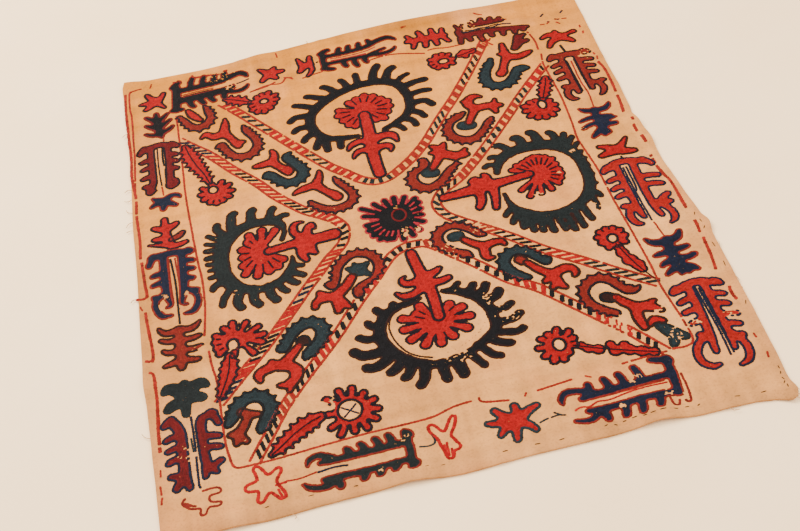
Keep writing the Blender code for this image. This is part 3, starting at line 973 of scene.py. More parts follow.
FLOWERS = (
    dict(centre=(-12, 202), disc=12, half=6.1,
         tips=((-50, 200), (-47, 212.5), (-31, 227), (-18.5, 233), (-5, 236.5), (8, 231),
               (18, 221), (26, 212), (27, 199.5), (22, 187), (14.5, 174), (3, 173), (-29.5, 169),
               (-38, 174.5), (-45, 186.5)),
         stem=((-12.5, 192, 6.5), (-12.5, 180, 7), (-13, 160, 7.2), (-14.5, 140, 7.4),
               (-15.5, 120, 7.2), (-15.5, 100, 6.8), (-14.5, 79, 6.6)),
         horns=(((-14, 139, 5), (-27, 144, 4.6), (-37, 140, 4.2), (-43, 132, 1.8)),
                ((-13, 139, 6), (2, 146, 6), (13, 143, 5.4), (17, 130, 1.8)),
                ((-15, 122, 5), (-27, 127, 4.4), (-35, 123, 3.6), (-39, 115.5, 1.6)),
                ((-15, 122, 5), (-1, 127, 5), (7, 123, 4.2), (6, 114.5, 1.6)))),
    dict(centre=(-166, -8), disc=12, half=6.3,
         tips=((-178, 28), (-160, 32), (-143, 27), (-182, 17), (-192, 4), (-193, -12), (-193, -28),
               (-190, -43), (-175, -50), (-159.5, -47), (-147, -42), (-138.5, -31)),
         stem=((-157, -10, 5.5), (-140, -8, 5.5), (-122, -6, 6.5), (-100, -6, 7.5), (-83, -5, 8)),
         horns=(((-118, 0, 5), (-126, 11, 4.6), (-125, 22, 4), (-119, 26, 2.5), (-113, 25, 1)),
                ((-112, 2, 5), (-110, 14, 4.4), (-105, 18, 3.6), (-102, 11, 1.5)),
                ((-121, -10, 5.5), (-122, -26, 5), (-118.5, -36, 3.8)),
                ((-110, -10, 5), (-110, -24, 4.8), (-107, -28, 3)))),
    dict(centre=(160, 21), disc=12, half=4.9,
         tips=((127.5, 38.5), (135.5, 46), (145, 50), (153.5, 54), (161, 56.5), (169.5, 55),
               (177, 51.5), (185, 45), (187, 34), (189, 22.5), (189.5, 12.5), (186, 3.5),
               (180, -5), (168, -13), (153, -16), (138, -17), (130, -3)),
         stem=((149, 24, 5.5), (130, 22, 5.6), (112, 20, 6.8), (98, 20, 8.6), (85, 18, 8.2),
               (65, 16, 6.4), (47, 15, 5.4)),
         horns=(((92, 26, 5), (88, 34, 4.2), (82, 31, 3)), ((100, 25, 6), (101, 34, 5), (99, 38, 3.5)),
                ((88, 14, 6), (87, -2, 5), (82, -13, 4.2)),
                ((104, 14, 6), (103, -2, 4.8), (99.5, -19, 3.8)))),
    dict(centre=(0, -166), disc=10, half=6.6,
         tips=((-17.5, -134), (-25, -146), (-41, -150), (-42.5, -168), (-37.5, -186), (-23, -199),
               (-4, -202),
               (13, -196), (32.5, -187), (39.5, -168), (34, -150.5), (20.5, -141)),
         stem=((-7, -61, 5.6), (-5.5, -76, 6), (-3, -94, 6.2), (1, -112, 6.2), (2.5, -137, 6),
               (2, -160, 5.6)),
         horns=(((-4, -100, 5), (-14, -105.5, 5), (-23, -103, 4.4), (-24.5, -97, 3), (-20, -93, 1.4)),
                ((-1, -108, 5), (-13, -120, 5), (-26, -122, 4.6), (-34, -115.5, 2.4)),
                ((-1, -100, 5.5), (10, -97, 5), (18, -92, 3)),
                ((1, -110, 5), (15, -111, 4.8), (24, -108.5, 4)))),
)
CENTRE_TIPS = (
    (-50, 28.5), (-50, 14), (-34, 33), (-20, 36), (-7, 38), (6.5, 35), (19, 28), (22.5, 19),
    (22.5, 7), (22, -5), (21, -18), (13, -31), (3, -38.5), (-9.5, -41.5), (-22, -37.5),
    (-29, -36.5), (-38, -33), (-45, -24), (-49, -14), (-50, -3),
)

for ring in RINGS:
    motif([ring["path"]] + claws(ring["teeth"]), ring["fill"], ring["edge"], blend=1.2, wobble=0.6,
          rim=2.6)
run([(-33, -138), (-44, -144), (-49.5, -155), (-50.5, -166), (-47.5, -181), (-40, -196.5),
     (-29, -206), (-16, -212)], "brown")
sew("toothed_rings")
for flower in FLOWERS:
    motif(petals(flower["centre"], flower["tips"], 1.8, flower["half"], flower["disc"]),
          "bright_red", "plum", blend=0.6, wobble=0.25, rim=3)
    divide(flower["centre"], flower["tips"], 0.46)
    branches = [[(x, y, half * 1.08 + 0.8) for x, y, half in stroke]
                for stroke in (flower["stem"],) + flower["horns"]]
    motif(branches, "bright_red", "plum", lift=0.35)
motif(petals((-9, 0), CENTRE_TIPS, 3, 4.8, 12), "black", "rose", blend=0.4, wobble=0.3, rim=2.2)
divide((-9, 0), CENTRE_TIPS, 0.55, "rose")
lay([(-7 + 8 * math.cos(turn), 3 + 10 * math.sin(turn)) for turn in np.arange(0, 6.28, 0.2)],
    "dark_red", closed=True, lift=0.5)
sew("large_rosettes")

# Small rosettes
# Eight round flowers with a bare middle and a leaf or beaded stem, two to each side of the panel,
# filled with bright red and outlined in dark plum thread.


def serrated(path, side, pitch, size):
    """Small leaning teeth along one side of a curved band."""
    line = smooth(path)
    steps = np.hypot(*np.diff(line[:, :2], axis=0).T)
    along = np.concatenate([[0], np.cumsum(steps)])
    teeth = []
    for place in np.arange(pitch * 0.8, along[-1] - pitch * 0.3, pitch):
        here = [np.interp(place, along, line[:, column]) for column in range(3)]
        ahead = [np.interp(min(place + 1, along[-1]), along, line[:, column]) for column in range(2)]
        turn = math.atan2(ahead[1] - here[1], ahead[0] - here[0])
        out = turn + side * math.pi / 2
        reach = here[2] + size * draws.uniform(0.75, 1.1)
        lean = size * 0.5
        teeth.append(((here[0], here[1], here[2] * 0.7),
                      (here[0] + reach * math.cos(out) + lean * math.cos(turn),
                       here[1] + reach * math.sin(out) + lean * math.sin(turn), size * 0.7)))
    return teeth


ROSETTES = (
    dict(centre=(-129, 259), hole=(-129, 261, 4.5, 4), disc=12,
         tips=((-150, 266), (-119, 282), (-109, 272.5), (-107.5, 261), (-112.5, 250), (-120, 240),
               (-131, 234),
               (-142.5, 237), (-150, 245), (-151, 256), (-140, 277), (-130, 281))),
    dict(centre=(103, 267), hole=(104, 266.5, 6, 4), disc=10.5,
         tips=((84, 277), (83, 265), (86, 257), (92, 250), (106, 248.5), (119, 255), (122, 268),
               (117, 282), (106, 287), (95, 286))),
    dict(centre=(-206, 107), hole=(-208, 113, 4.5, 5.5), disc=12.5,
         tips=((-210, 128), (-194, 129), (-184, 119), (-181, 105), (-186, 92.5), (-196, 86), (-206, 83),
               (-216, 87), (-225, 96), (-228, 109), (-224, 122))),
    dict(centre=(-206, -130), hole=(-211, -136, 5, 7), disc=13,
         tips=((-213, -156), (-221, -106), (-209, -100), (-192, -104), (-178, -116), (-173, -130),
               (-176, -143),
               (-188, -158), (-232, -116), (-234, -127), (-233, -138), (-230, -148))),
    dict(centre=(-106, -255), hole=(-108, -254.5, 11, 12), disc=19,
         tips=((-135, -254), (-132.5, -232), (-117, -223), (-101, -223), (-88, -233), (-78, -246),
               (-76, -261),
               (-81, -275), (-93, -285), (-108, -286), (-124, -286), (-133, -274))),
    dict(centre=(107, -232), hole=(109, -232, 5.5, 7), disc=11.5,
         tips=((129, -238), (100, -211), (113, -207), (127, -214), (130, -226), (89, -217), (83, -231),
               (87, -246), (96, -256), (109, -257), (119, -249))),
    dict(centre=(205, -102), hole=(206, -104, 4.5, 5.5), disc=10,
         tips=((209, -120), (186, -97), (192, -87), (202, -83), (213, -84), (222, -91), (225, -103),
               (221, -116),
               (196, -121), (188, -110))),
    dict(centre=(196, 136), hole=(198, 141, 3.8, 7.5), disc=12,
         tips=((203, 155), (181, 154), (171, 146), (170, 134), (174, 121), (184, 113), (196, 110),
               (208, 113),
               (216, 123), (218, 136), (213, 149), (191, 156))),
)
LEAVES = (
    # size of the scallops, stroke
    (3.2, ((-148, 266, 5), (-156, 271, 7.5), (-167, 277, 7), (-177, 281, 4))),
    (3.2, ((-211, 127, 4.5), (-216, 145, 6), (-224, 165, 8.5), (-230, 185, 8.5),
           (-234, 203, 5.5))),
    (2.2, ((-216, -150, 5.5), (-218, -165, 9), (-222, -180, 8), (-228, -195, 5.5),
           (-231, -203, 3))),
    (2.8, ((-137, -254, 6.5), (-150, -259, 9), (-165, -268, 8.5),
           (-180, -280, 6.5), (-190, -287, 4))),
    (2.6, ((202, 151, 5), (207, 164, 7), (213, 179, 7), (216, 190, 5.5))),
)
BEADED_STEMS = (
    dict(beads=((126, 272, 4.5), (133, 276, 6), (134, 267, 4), (143, 275, 5.5), (146, 278, 3)),
         vein=((121, 271), (132, 272), (147, 277))),
    dict(beads=((129, -239, 4.5), (135, -245, 5), (144, -249, 6), (157, -246, 4.5), (160, -255, 6.5),
                (170, -250, 4.5), (173, -258, 6.5), (184, -263, 6.5), (195, -267, 5.5)),
         vein=((122, -237), (150, -250), (178, -261), (200, -269))),
    dict(beads=((208, -120, 5), (209, -128, 6.5), (213, -140, 8), (219, -149, 7), (221, -156, 5)),
         vein=((207, -113), (212, -132), (220, -155), (229, -174))),
)

for bloom in ROSETTES:
    motif(petals(bloom["centre"], bloom["tips"], 2, 5.2, bloom["disc"]), "bright_red", "plum",
          holes=(bloom["hole"],), blend=0.5)
    divide(bloom["centre"], bloom["tips"])
for size, leaf in LEAVES:
    notches = serrated(leaf, 1, 9, size) + serrated(leaf, -1, 9, size)
    motif([leaf] + notches, "bright_red", "plum")
    lay(smooth(leaf), "plum", lift=0.5, width=1.9)
for stem in BEADED_STEMS:
    motif([((x, y, half + 1), (x + 0.1, y, half + 1)) for x, y, half in stem["beads"]], "bright_red",
          "plum", blend=0.8, rim=3)
    run(stem["vein"], "plum", lift=0.5, width=1.7)
for ends in (((-116, -249), (-100, -261)), ((-101, -248), (-115, -262))):
    lay(ends, "navy")
sew("small_rosettes")

# Hooked pairs
# Along each diagonal stand hook-shaped bands, each open towards the corner, with a small dark
# foot inside and a branched red horn that grows out of it.
HOOKS = (
    dict(fill="madder", edge="plum",
         band=((-67, 90, 3), (-65, 80, 4.5), (-56, 66, 5.5), (-51, 52, 6), (-57, 40, 6.5),
               (-71, 36, 6.5), (-84, 39, 6), (-94, 48, 5), (-101, 56, 4))),
    dict(fill="teal", edge="black",
         band=((-111, 151, 3), (-117, 144, 6), (-108, 128, 7), (-101, 114, 7.5), (-106, 101, 7.5),
               (-119, 97, 7.5), (-130, 105, 7), (-136, 115, 6), (-142, 120, 6), (-147, 115, 3))),
    dict(fill="madder", edge="plum",
         band=((-160, 221, 3), (-158, 210, 5.5), (-150, 195, 6), (-147, 180, 6.5), (-153, 167, 7),
               (-165, 162, 7), (-177, 167, 6.5), (-185, 180, 6), (-190, 192, 6), (-196, 189, 3.5))),
    dict(fill="madder", edge="plum",
         band=((-204, 278, 2.5), (-200, 265, 5.5), (-198, 250, 6), (-205, 239, 7), (-217, 236, 7),
               (-226, 245, 6), (-232, 257, 5), (-236, 266, 3))),
    dict(fill="madder", edge="plum",
         band=((33, 87, 2.5), (39, 87, 4.5), (40, 77, 5), (31, 71, 5.5), (22, 65, 6.5),
               (20, 52, 7.5), (26, 41, 7.5), (38, 37, 7), (50, 43, 6.5), (58, 52, 6), (66, 62, 5),
               (74, 67, 4), (75, 71, 3))),
    dict(fill="madder", edge="plum",
         band=((104, 157, 4), (97, 151, 6), (85, 144, 6), (79, 131, 6.5), (81, 118, 7),
               (91, 108, 7), (103, 105, 7), (113, 111, 6), (122, 121, 5.5), (128, 131, 5),
               (134, 136, 4))),
    dict(fill="teal", edge="black",
         band=((161, 250, 4.5), (158, 240, 5.5), (150, 228, 6.5), (146, 213, 7.5),
               (149, 200, 7.5), (160, 194, 7.5), (172, 197, 7.5), (181, 207, 7), (187, 219, 6),
               (195, 221, 5.5), (200, 218, 5))),
    dict(fill="madder", edge="plum",
         band=((-103, -80, 4), (-97, -85, 5.5), (-92, -75, 5.5), (-88, -60, 6), (-78, -48, 6),
               (-66, -43, 6), (-53, -47, 6.5), (-45, -58, 6.5), (-45, -72, 6), (-53, -84, 4),
               (-64, -90, 5), (-73, -97, 5.5), (-74, -106, 4), (-68, -107, 2))),
    dict(fill="teal", edge="black",
         band=((-166, -156, 3.5), (-161, -157, 6), (-155, -148, 6.5), (-148, -138, 7),
               (-137, -130, 7.5), (-126, -130, 8), (-119, -138, 8), (-119, -150, 7.5),
               (-127, -161, 7), (-137, -170, 6.5), (-140, -176, 4))),
    dict(fill="teal", edge="black",
         band=((-227, -239, 5), (-221, -231, 7), (-215, -219, 7.5), (-206, -212, 7.5),
               (-195, -211, 8), (-186, -219, 7.5), (-184, -231, 7.5), (-190, -243, 7),
               (-196, -252, 5.5), (-196, -256, 4))),
    dict(fill="madder", edge="plum",
         band=((76, -56, 4), (70, -54, 5), (62, -43, 5.5), (50, -34, 5.5), (38, -33, 6),
               (28, -41, 6.5), (26, -53, 6.5), (33, -65, 6), (43, -74, 5), (51, -78, 5),
               (55, -85, 3.5))),
    dict(fill="teal", edge="black",
         band=((134, -112, 3), (129, -117, 5), (121, -107, 5.5), (113, -96, 6.5), (101, -91, 6.5),
               (90, -97, 7), (86, -108, 7), (91, -121, 6.5), (101, -131, 6), (106, -133, 4))),
    dict(fill="madder", edge="plum",
         band=((176, -208, 5.5), (165, -199, 5.5), (155, -187, 6), (153, -172, 6), (160, -161, 6.5),
               (172, -156, 6.5), (183, -161, 6.5), (190, -172, 6), (197, -182, 5.5),
               (206, -183, 4), (210, -178, 2.5))),
)
ANTLERS = (
    (((-90, 83, 7.5), (-81, 70, 6), (-72, 60, 7.5), (-69, 55, 7.5)),
     ((-90, 83, 7), (-84, 96, 5.5), (-82.5, 106, 3.5)),
     ((-90, 83, 7), (-103, 81, 6.5), (-112, 78, 5), (-117, 75, 3))),
    (((-134, 140, 7), (-126, 128, 6.5), (-118, 119, 8), (-118, 114, 5)),
     ((-134, 140, 7), (-130, 151, 6), (-132, 161, 4)),
     ((-134, 140, 7), (-147, 139, 6.5), (-155, 138, 4.5))),
    (((-185, 214, 8), (-178, 202, 6), (-173, 191, 6.5), (-170, 184, 6)),
     ((-174, 192, 4), (-164, 190, 4.5)),
     ((-185, 214, 7.5), (-182, 229, 6), (-181, 241, 3.2)),
     ((-185, 214, 7.5), (-197, 211, 7), (-207, 219, 5), (-213, 213, 3))),
    (((-225, 274, 4), (-219, 261, 6.5), (-211, 250, 4.5)),),
    (((46, 68, 5), (54, 80, 6.5), (61, 91, 8)), ((61, 93, 7.5), (57, 103, 6), (53, 107, 4)),
     ((63, 95, 6), (67, 105, 5), (69, 109, 3)), ((60, 93, 6), (50, 96, 4)),
     ((64, 90, 8), (74, 83, 8), (83, 83, 6.5), (90, 90, 4)), ((76, 83, 6), (84, 80, 5.5), (90, 80, 4.5)),
     ((72, 82, 5), (76, 76, 4))),
    (((106, 136, 5.5), (113, 149, 6), (119, 159, 7.5)),
     ((118, 161, 7.5), (113, 172, 7.5), (118, 181, 7), (126, 183, 5), (131, 180, 3)),
     ((113, 174, 5), (107, 178, 3)),
     ((119, 160, 7), (134, 160, 7), (145, 158, 6), (151, 156, 4)), ((143, 160, 5.5), (146, 170, 3.2)),
     ((140, 157, 6), (142, 146, 4.5))),
    (((167, 217, 7.5), (170, 220, 7)), ((169, 220, 6), (176, 236, 6), (183, 249, 7.5)),
     ((183, 249, 7), (182, 264, 6), (183, 276, 4.5)),
     ((183, 249, 7), (195, 244, 7), (207, 247, 6), (213, 250, 4)), ((181, 253, 5.5), (174, 257, 3.5))),
    (((-75, -77, 6), (-85, -90, 7), (-97, -100, 7.5)),
     ((-97, -100, 7), (-109, -95, 6.5), (-113, -90, 4.5)),
     ((-100, -99, 6.5), (-116, -101, 6), (-120, -109, 5)),
     ((-97, -100, 7), (-96, -114, 6.5), (-97, -121, 5.5)),
     ((-94, -104, 6), (-88, -114, 5.5), (-85, -119, 4))),
    (((-144, -157, 5), (-155, -169, 6.5), (-165, -179, 8)),
     ((-164, -179, 7), (-173, -175, 6.5), (-175, -171, 4.5)),
     ((-170, -177, 7), (-183, -180, 7), (-190, -185, 6), (-189, -193, 4)),
     ((-161, -179, 7), (-152, -189, 8), (-155, -200, 7), (-164, -205, 5.5), (-171, -204, 4)),
     ((-157, -202, 6), (-162, -214, 3.5))),
    (((53, -57, 5), (62, -67, 6), (72, -74, 7)),
     ((72, -74, 6.5), (84, -71, 6), (92, -73, 5), (94, -78, 3.5)),
     ((72, -74, 6.5), (70, -86, 6.5), (72, -93, 5), (78, -93, 3))),
    (((109, -112, 5), (119, -126, 6), (131, -137, 7)),
     ((131, -137, 7), (142, -132, 7), (151, -133, 6), (154, -141, 5), (151, -145, 3.5)),
     ((130, -139, 6), (120, -144, 4.5)), ((131, -141, 6.5), (134, -153, 6), (138, -158, 4)),
     ((131, -148, 5.5), (125, -155, 4.5))),
    (((182, -187, 5.5), (189, -197, 6.5), (198, -206, 7.5)),
     ((197, -206, 7), (209, -206, 6), (218, -202, 3.5)),
     ((197, -206, 7), (195, -220, 6.5), (197, -234, 5.5)),
     ((203, -207, 7), (214, -212, 6), (221, -217, 4))),
    (((203, -232, 4.5), (209, -227, 5.5), (217, -231, 4.5)),),
)
RED_T = (((-212, -227, 6), (-204, -232, 6), (-196, -234, 4.5)),
         ((-206, -232, 5), (-211, -243, 6), (-219, -254, 7)),
         ((-217, -252, 6), (-226, -252, 4.5)), ((-218, -255, 6), (-211, -264, 4.5)),
         ((-219, -256, 6), (-221, -264, 4.5)))
FEET = (
    # fill, edge, strokes
    ("teal", "pine", (((39, 62, 8), (45, 61, 8.5)),)),
    ("teal", "pine", (((98, 133, 8.5), (106, 131, 8.5)),)),
    ("teal", "pine", (((-67, -68, 10), (-66, -68, 10)), ((-67, -68, 5), (-78, -63, 3)),
                      ((-67, -68, 5), (-70, -56, 2)),
                      ((-67, -68, 5), (-56, -61, 4)), ((-67, -68, 5), (-57, -77, 4)))),
    ("brown", "black", (((-140, -152, 7.5), (-139, -151, 7.5)), ((-139, -149, 3), (-134, -158, 3)))),
    ("teal", "pine", (((43, -50, 7.5), (48, -50, 8)),)),
    ("madder", "brown", (((103, -105, 7), (105, -108, 7)),)),
    ("brown", "black", (((173, -184, 7.5), (177, -186, 7.5)),)),
    ("dark_red", "brown", (((197, 263, 6), (204, 274, 7.5), (206, 286, 6)),
                           ((204, 273, 6), (215, 274, 5)),
                           ((205, 280, 5), (215, 288, 4)))),
    ("teal", "pine", (((212, -237, 6), (221, -249, 8), (231, -257, 5)),
                      ((222, -249, 6), (217, -263, 5)))),
    ("madder", "brown", RED_T),
)

for hook in HOOKS:
    line = smooth(hook["band"])
    at = len(line) // 2
    ahead = line[at + 1, :2] - line[at, :2]
    away = line[at, :2] - np.array(hook["band"])[:, :2].mean(0)
    side = 1 if ahead[0] * away[1] - ahead[1] * away[0] > 0 else -1
    motif([hook["band"]] + serrated(hook["band"], side, 7.5, 2.6), hook["fill"], hook["edge"])
for fill, edge, strokes in FEET:
    motif(strokes, fill, edge)
for antler in ANTLERS:
    motif(antler, "bright_red", "brown", lift=0.2)
sew("hooked_pairs")

# Border motifs
# Combs, small trees, stars and flowers that stand one after another in the border on all four
# sides. Some were left as outlines, and some have lost part of their filling.


def comb(bars, tips, half, droop):
    """Bars with a blunt tooth that grows out of the nearest bar and droops to each tip."""
    strokes = list(bars)
    spine = np.vstack([smooth(bar) for bar in bars])
    for x, y in tips:
        root = spine[np.hypot(spine[:, 0] - x, spine[:, 1] - y).argmin()]
        start_x, start_y = root[0] - droop[0], root[1] - droop[1]
        reach = math.hypot(x - start_x, y - start_y)
        back = 1 - half * 0.8 / reach
        x, y = start_x + (x - start_x) * back, start_y + (y - start_y) * back
        knee_x = start_x + (x - start_x) * 0.6 - droop[0] * 0.25
        knee_y = start_y + (y - start_y) * 0.6 - droop[1] * 0.25
        strokes.append(((start_x, start_y, half * 0.95), (knee_x, knee_y, half), (x, y, half * 0.9)))
    return strokes


COMBS = (
    dict(fill="dark_red", edge="plum", half=4.8, droop=(0, -4),
         bars=(((-284, 212, 6), (-266, 217, 5.5), (-250, 212, 6)),
               ((-276.5, 214, 5), (-276.5, 180, 5), (-276.5, 150, 5), (-281, 136, 6), (-281, 131, 5),
                (-275, 134, 2.5)),
               ((-255.5, 214, 5), (-255.5, 180, 5), (-256, 155, 5.5), (-257, 137, 6)),
               ((-255, 135, 5), (-249, 139, 4), (-249, 147, 3))),
         tips=((-292, 202), (-292, 188), (-291, 173), (-292, 157), (-291, 143), (-241, 206),
               (-242, 192), (-242, 179), (-243, 166))),
    dict(fill="navy", edge="madder", rim=2.4, half=4.9, droop=(0, -3),
         bars=(((-284, 19, 6), (-264, 21, 6), (-245, 18, 6)),
               ((-274, 16, 5.5), (-274, -30, 5.5), (-272.5, -48, 4.5), (-270, -60, 3), (-275, -62, 2.5)),
               ((-253, 16, 5.5), (-254, -30, 5.5), (-256, -48, 4.5), (-258, -60, 3), (-253, -63, 2.5)),
               ((-278, -42, 5), (-286, -50, 4.5), (-286, -63, 4.5), (-280, -74, 4.5), (-271, -75, 3)),
               ((-249, -42, 5), (-242, -50, 4.5), (-241, -63, 4.5), (-247, -75, 4.5),
                (-256, -76, 3))),
         tips=((-291, 16), (-292, 3), (-291, -11), (-291, -26), (-291, -43), (-239, 15), (-238, 2),
               (-239, -11), (-240, -26), (-237, -44))),
    dict(fill="dark_red", edge="navy", half=4.8, droop=(0, -4),
         bars=(((-282, -219, 6.5), (-274, -236, 6), (-273.5, -270, 6), (-274, -288, 6), (-282, -301, 5)),
               ((-273, -288, 5.5), (-270, -303, 4.5)),
               ((-243, -222, 5), (-252.5, -226, 6), (-253, -260, 5.5), (-252, -280, 5.5),
                (-254, -294, 4)),
               ((-251, -282, 5), (-243, -291, 4))),
         tips=((-292, -227), (-292, -243), (-291, -257), (-291, -271), (-290, -285), (-235, -222),
               (-234, -237), (-233, -250), (-233, -263), (-234, -277))),
    dict(fill="pine", edge="madder", rim=2.4, half=4.9, droop=(-4, 0),
         bars=(((-62, -300, 5), (-61, -317, 5), (-62, -334, 5)),
               ((-64, -308, 5), (-100, -308, 4.8), (-132, -309, 4.5), (-146, -309, 3.5)),
               ((-134, -306, 4.5), (-146, -300, 4.5), (-156, -303, 4), (-158, -309, 2.5)),
               ((-64, -329, 4.5), (-100, -329, 4.5), (-130, -329, 4.5), (-146, -329, 3.5)),
               ((-134, -333, 4.5), (-145, -337, 4.5), (-158, -335, 4), (-165, -329, 2.5))),
         tips=((-65, -292), (-79, -291), (-92, -292), (-107, -294), (-121, -296), (-66, -340),
               (-80, -339), (-95, -340), (-110, -341), (-131, -345))),
    dict(fill="navy", edge="madder", rim=2.4, half=5, droop=(-3, 0),
         bars=(((202, -282, 5), (202, -300, 5.5), (200, -322, 5)),
               ((198, -298, 5), (160, -300, 5), (130, -302, 5), (110, -304, 4)),
               ((124, -300, 4.5), (110, -294, 4.5), (97, -293, 4.5), (91, -300, 4), (91, -305, 2.5)),
               ((196, -320, 5), (160, -320, 4.8), (130, -321, 4.8), (112, -320, 4)),
               ((122, -324, 4.5), (110, -331, 4), (97, -328, 3))),
         tips=((200, -274), (184, -275), (168, -277), (151, -281), (136, -283), (121, -285),
               (178, -336), (160, -339), (144, -338), (129, -337))),
    dict(fill="black", edge="madder", rim=2.2, half=4.9, droop=(5, 0),
         bars=(((-236, 328, 6), (-237, 305, 6.5), (-239, 280, 6)),
               ((-234, 319, 6), (-205, 320, 6), (-180, 322, 6), (-168, 326, 6), (-156, 330, 5.5),
                (-147, 327, 5), (-144, 321, 3)),
               ((-234, 298, 7), (-205, 299, 7.5), (-180, 301, 7), (-165, 305, 5.5)),
               ((-176, 300, 4.5), (-166, 295, 4.5), (-155, 294, 4.5), (-147, 299, 4), (-145, 304, 2.5))),
         tips=((-229, 340), (-213, 343), (-198, 342), (-184, 341), (-172, 342), (-228, 279),
               (-216, 277), (-202, 279), (-189, 280), (-177, 282))),
    dict(fill="black", edge="madder", rim=2.2, half=4.8, droop=(3, 0),
         bars=(((-43, 336, 4.5), (-44, 318, 5), (-43, 302, 4.5)),
               ((-42, 328, 4.5), (-10, 328, 4.5), (14, 331, 5), (30, 339, 5), (44, 342, 4.8),
                (53, 337, 3.5), (55, 334, 2)),
               ((-42, 311, 4.5), (-10, 311, 4.5), (18, 310, 4.5), (36, 309, 4.5), (47, 313, 4),
                (51, 319, 2.5)),
               ((16, 313, 3.5), (37, 320, 3.5))),
         tips=((-31, 342), (-19, 343), (-7, 344), (6, 345), (18, 347), (-30, 296), (-16, 294),
               (-2, 290), (11, 294))),
    dict(fill="dark_red", edge="brown", half=4.8, droop=(2, 0),
         bars=(((156, 330, 5), (175, 330, 5.5), (196, 329, 4.5)),
               ((136, 322, 5), (140, 312, 6), (160, 312, 5.5), (180, 311, 5.5), (198, 308, 5),
                (214, 304, 5.5), (224, 303, 4)),
               ((139, 325, 4.5), (135, 338, 2.5)), ((140, 326, 4), (145, 337, 2))),
         tips=((158, 342), (171, 344), (183, 342), (195, 338), (134, 293), (149, 295), (163, 290),
               (177, 295), (191, 293), (206, 292), (219, 294))),
    dict(fill="madder", edge="plum", half=4.8, droop=(0, -4),
         bars=(((236, 227, 6), (255, 228, 6.5), (276, 226, 6)),
               ((245.5, 224, 4.8), (245.5, 180, 4.8), (246, 160, 4.8), (247, 150, 4.5)),
               ((265, 224, 4.8), (265, 180, 4.6), (265, 160, 4.6), (265, 152, 4)),
               ((245, 166, 5), (236, 158, 5), (233, 149, 5), (236, 140, 4.8), (242, 138, 3)),
               ((266, 166, 5), (275, 160, 4.8), (278, 150, 4.8), (275, 141, 4.5), (271, 137, 3))),
         tips=((229, 220), (228, 207), (228, 194), (228, 180), (229, 166), (284, 222), (284, 208),
               (283, 195), (283, 182), (286, 165))),
    dict(fill="orange_red", edge="navy", half=5, droop=(0, -4),
         bars=(((236, 4, 6), (246, 11, 6), (262, 11, 6), (277, 5, 5)),
               ((246, 8, 5), (246, -30, 5), (247, -70, 5), (249, -82, 4)),
               ((265, 8, 5.5), (264, -40, 5.5), (265, -70, 5), (268, -85, 4)),
               ((246, -60, 5), (238, -68, 5.2), (235, -80, 5.2), (239, -90, 4.8), (244, -92, 3)),
               ((266, -62, 5), (276, -73, 5), (281, -85, 5), (279, -95, 4.5), (273, -99, 2.5))),
         tips=((227, -3), (227, -17), (227, -32), (228, -45), (229, -60), (288, -5), (289, -23),
               (289, -37), (289, -52), (288, -66))),
    dict(fill="orange_red", edge="navy", half=4.9, droop=(0, -4),
         bars=(((244, -197, 6), (258, -191, 6), (272, -191, 6), (284, -197, 5)),
               ((256, -194, 5.5), (256, -230, 5.5), (254, -262, 5.5), (252, -284, 4)),
               ((273, -194, 5.5), (273, -230, 5), (273, -262, 5), (271, -284, 4)),
               ((252, -262, 5), (240, -270, 5), (234, -281, 5), (235, -294, 5), (243, -301, 4.5),
                (250, -300, 3)),
               ((274, -264, 5), (281, -276, 5), (283, -290, 5), (278, -302, 4.5), (269, -306, 3))),
         tips=((236, -202), (237, -215), (237, -229), (239, -244), (241, -258), (292, -202),
               (291, -215), (290, -229), (293, -243), (291, -257), (289, -271))),
)
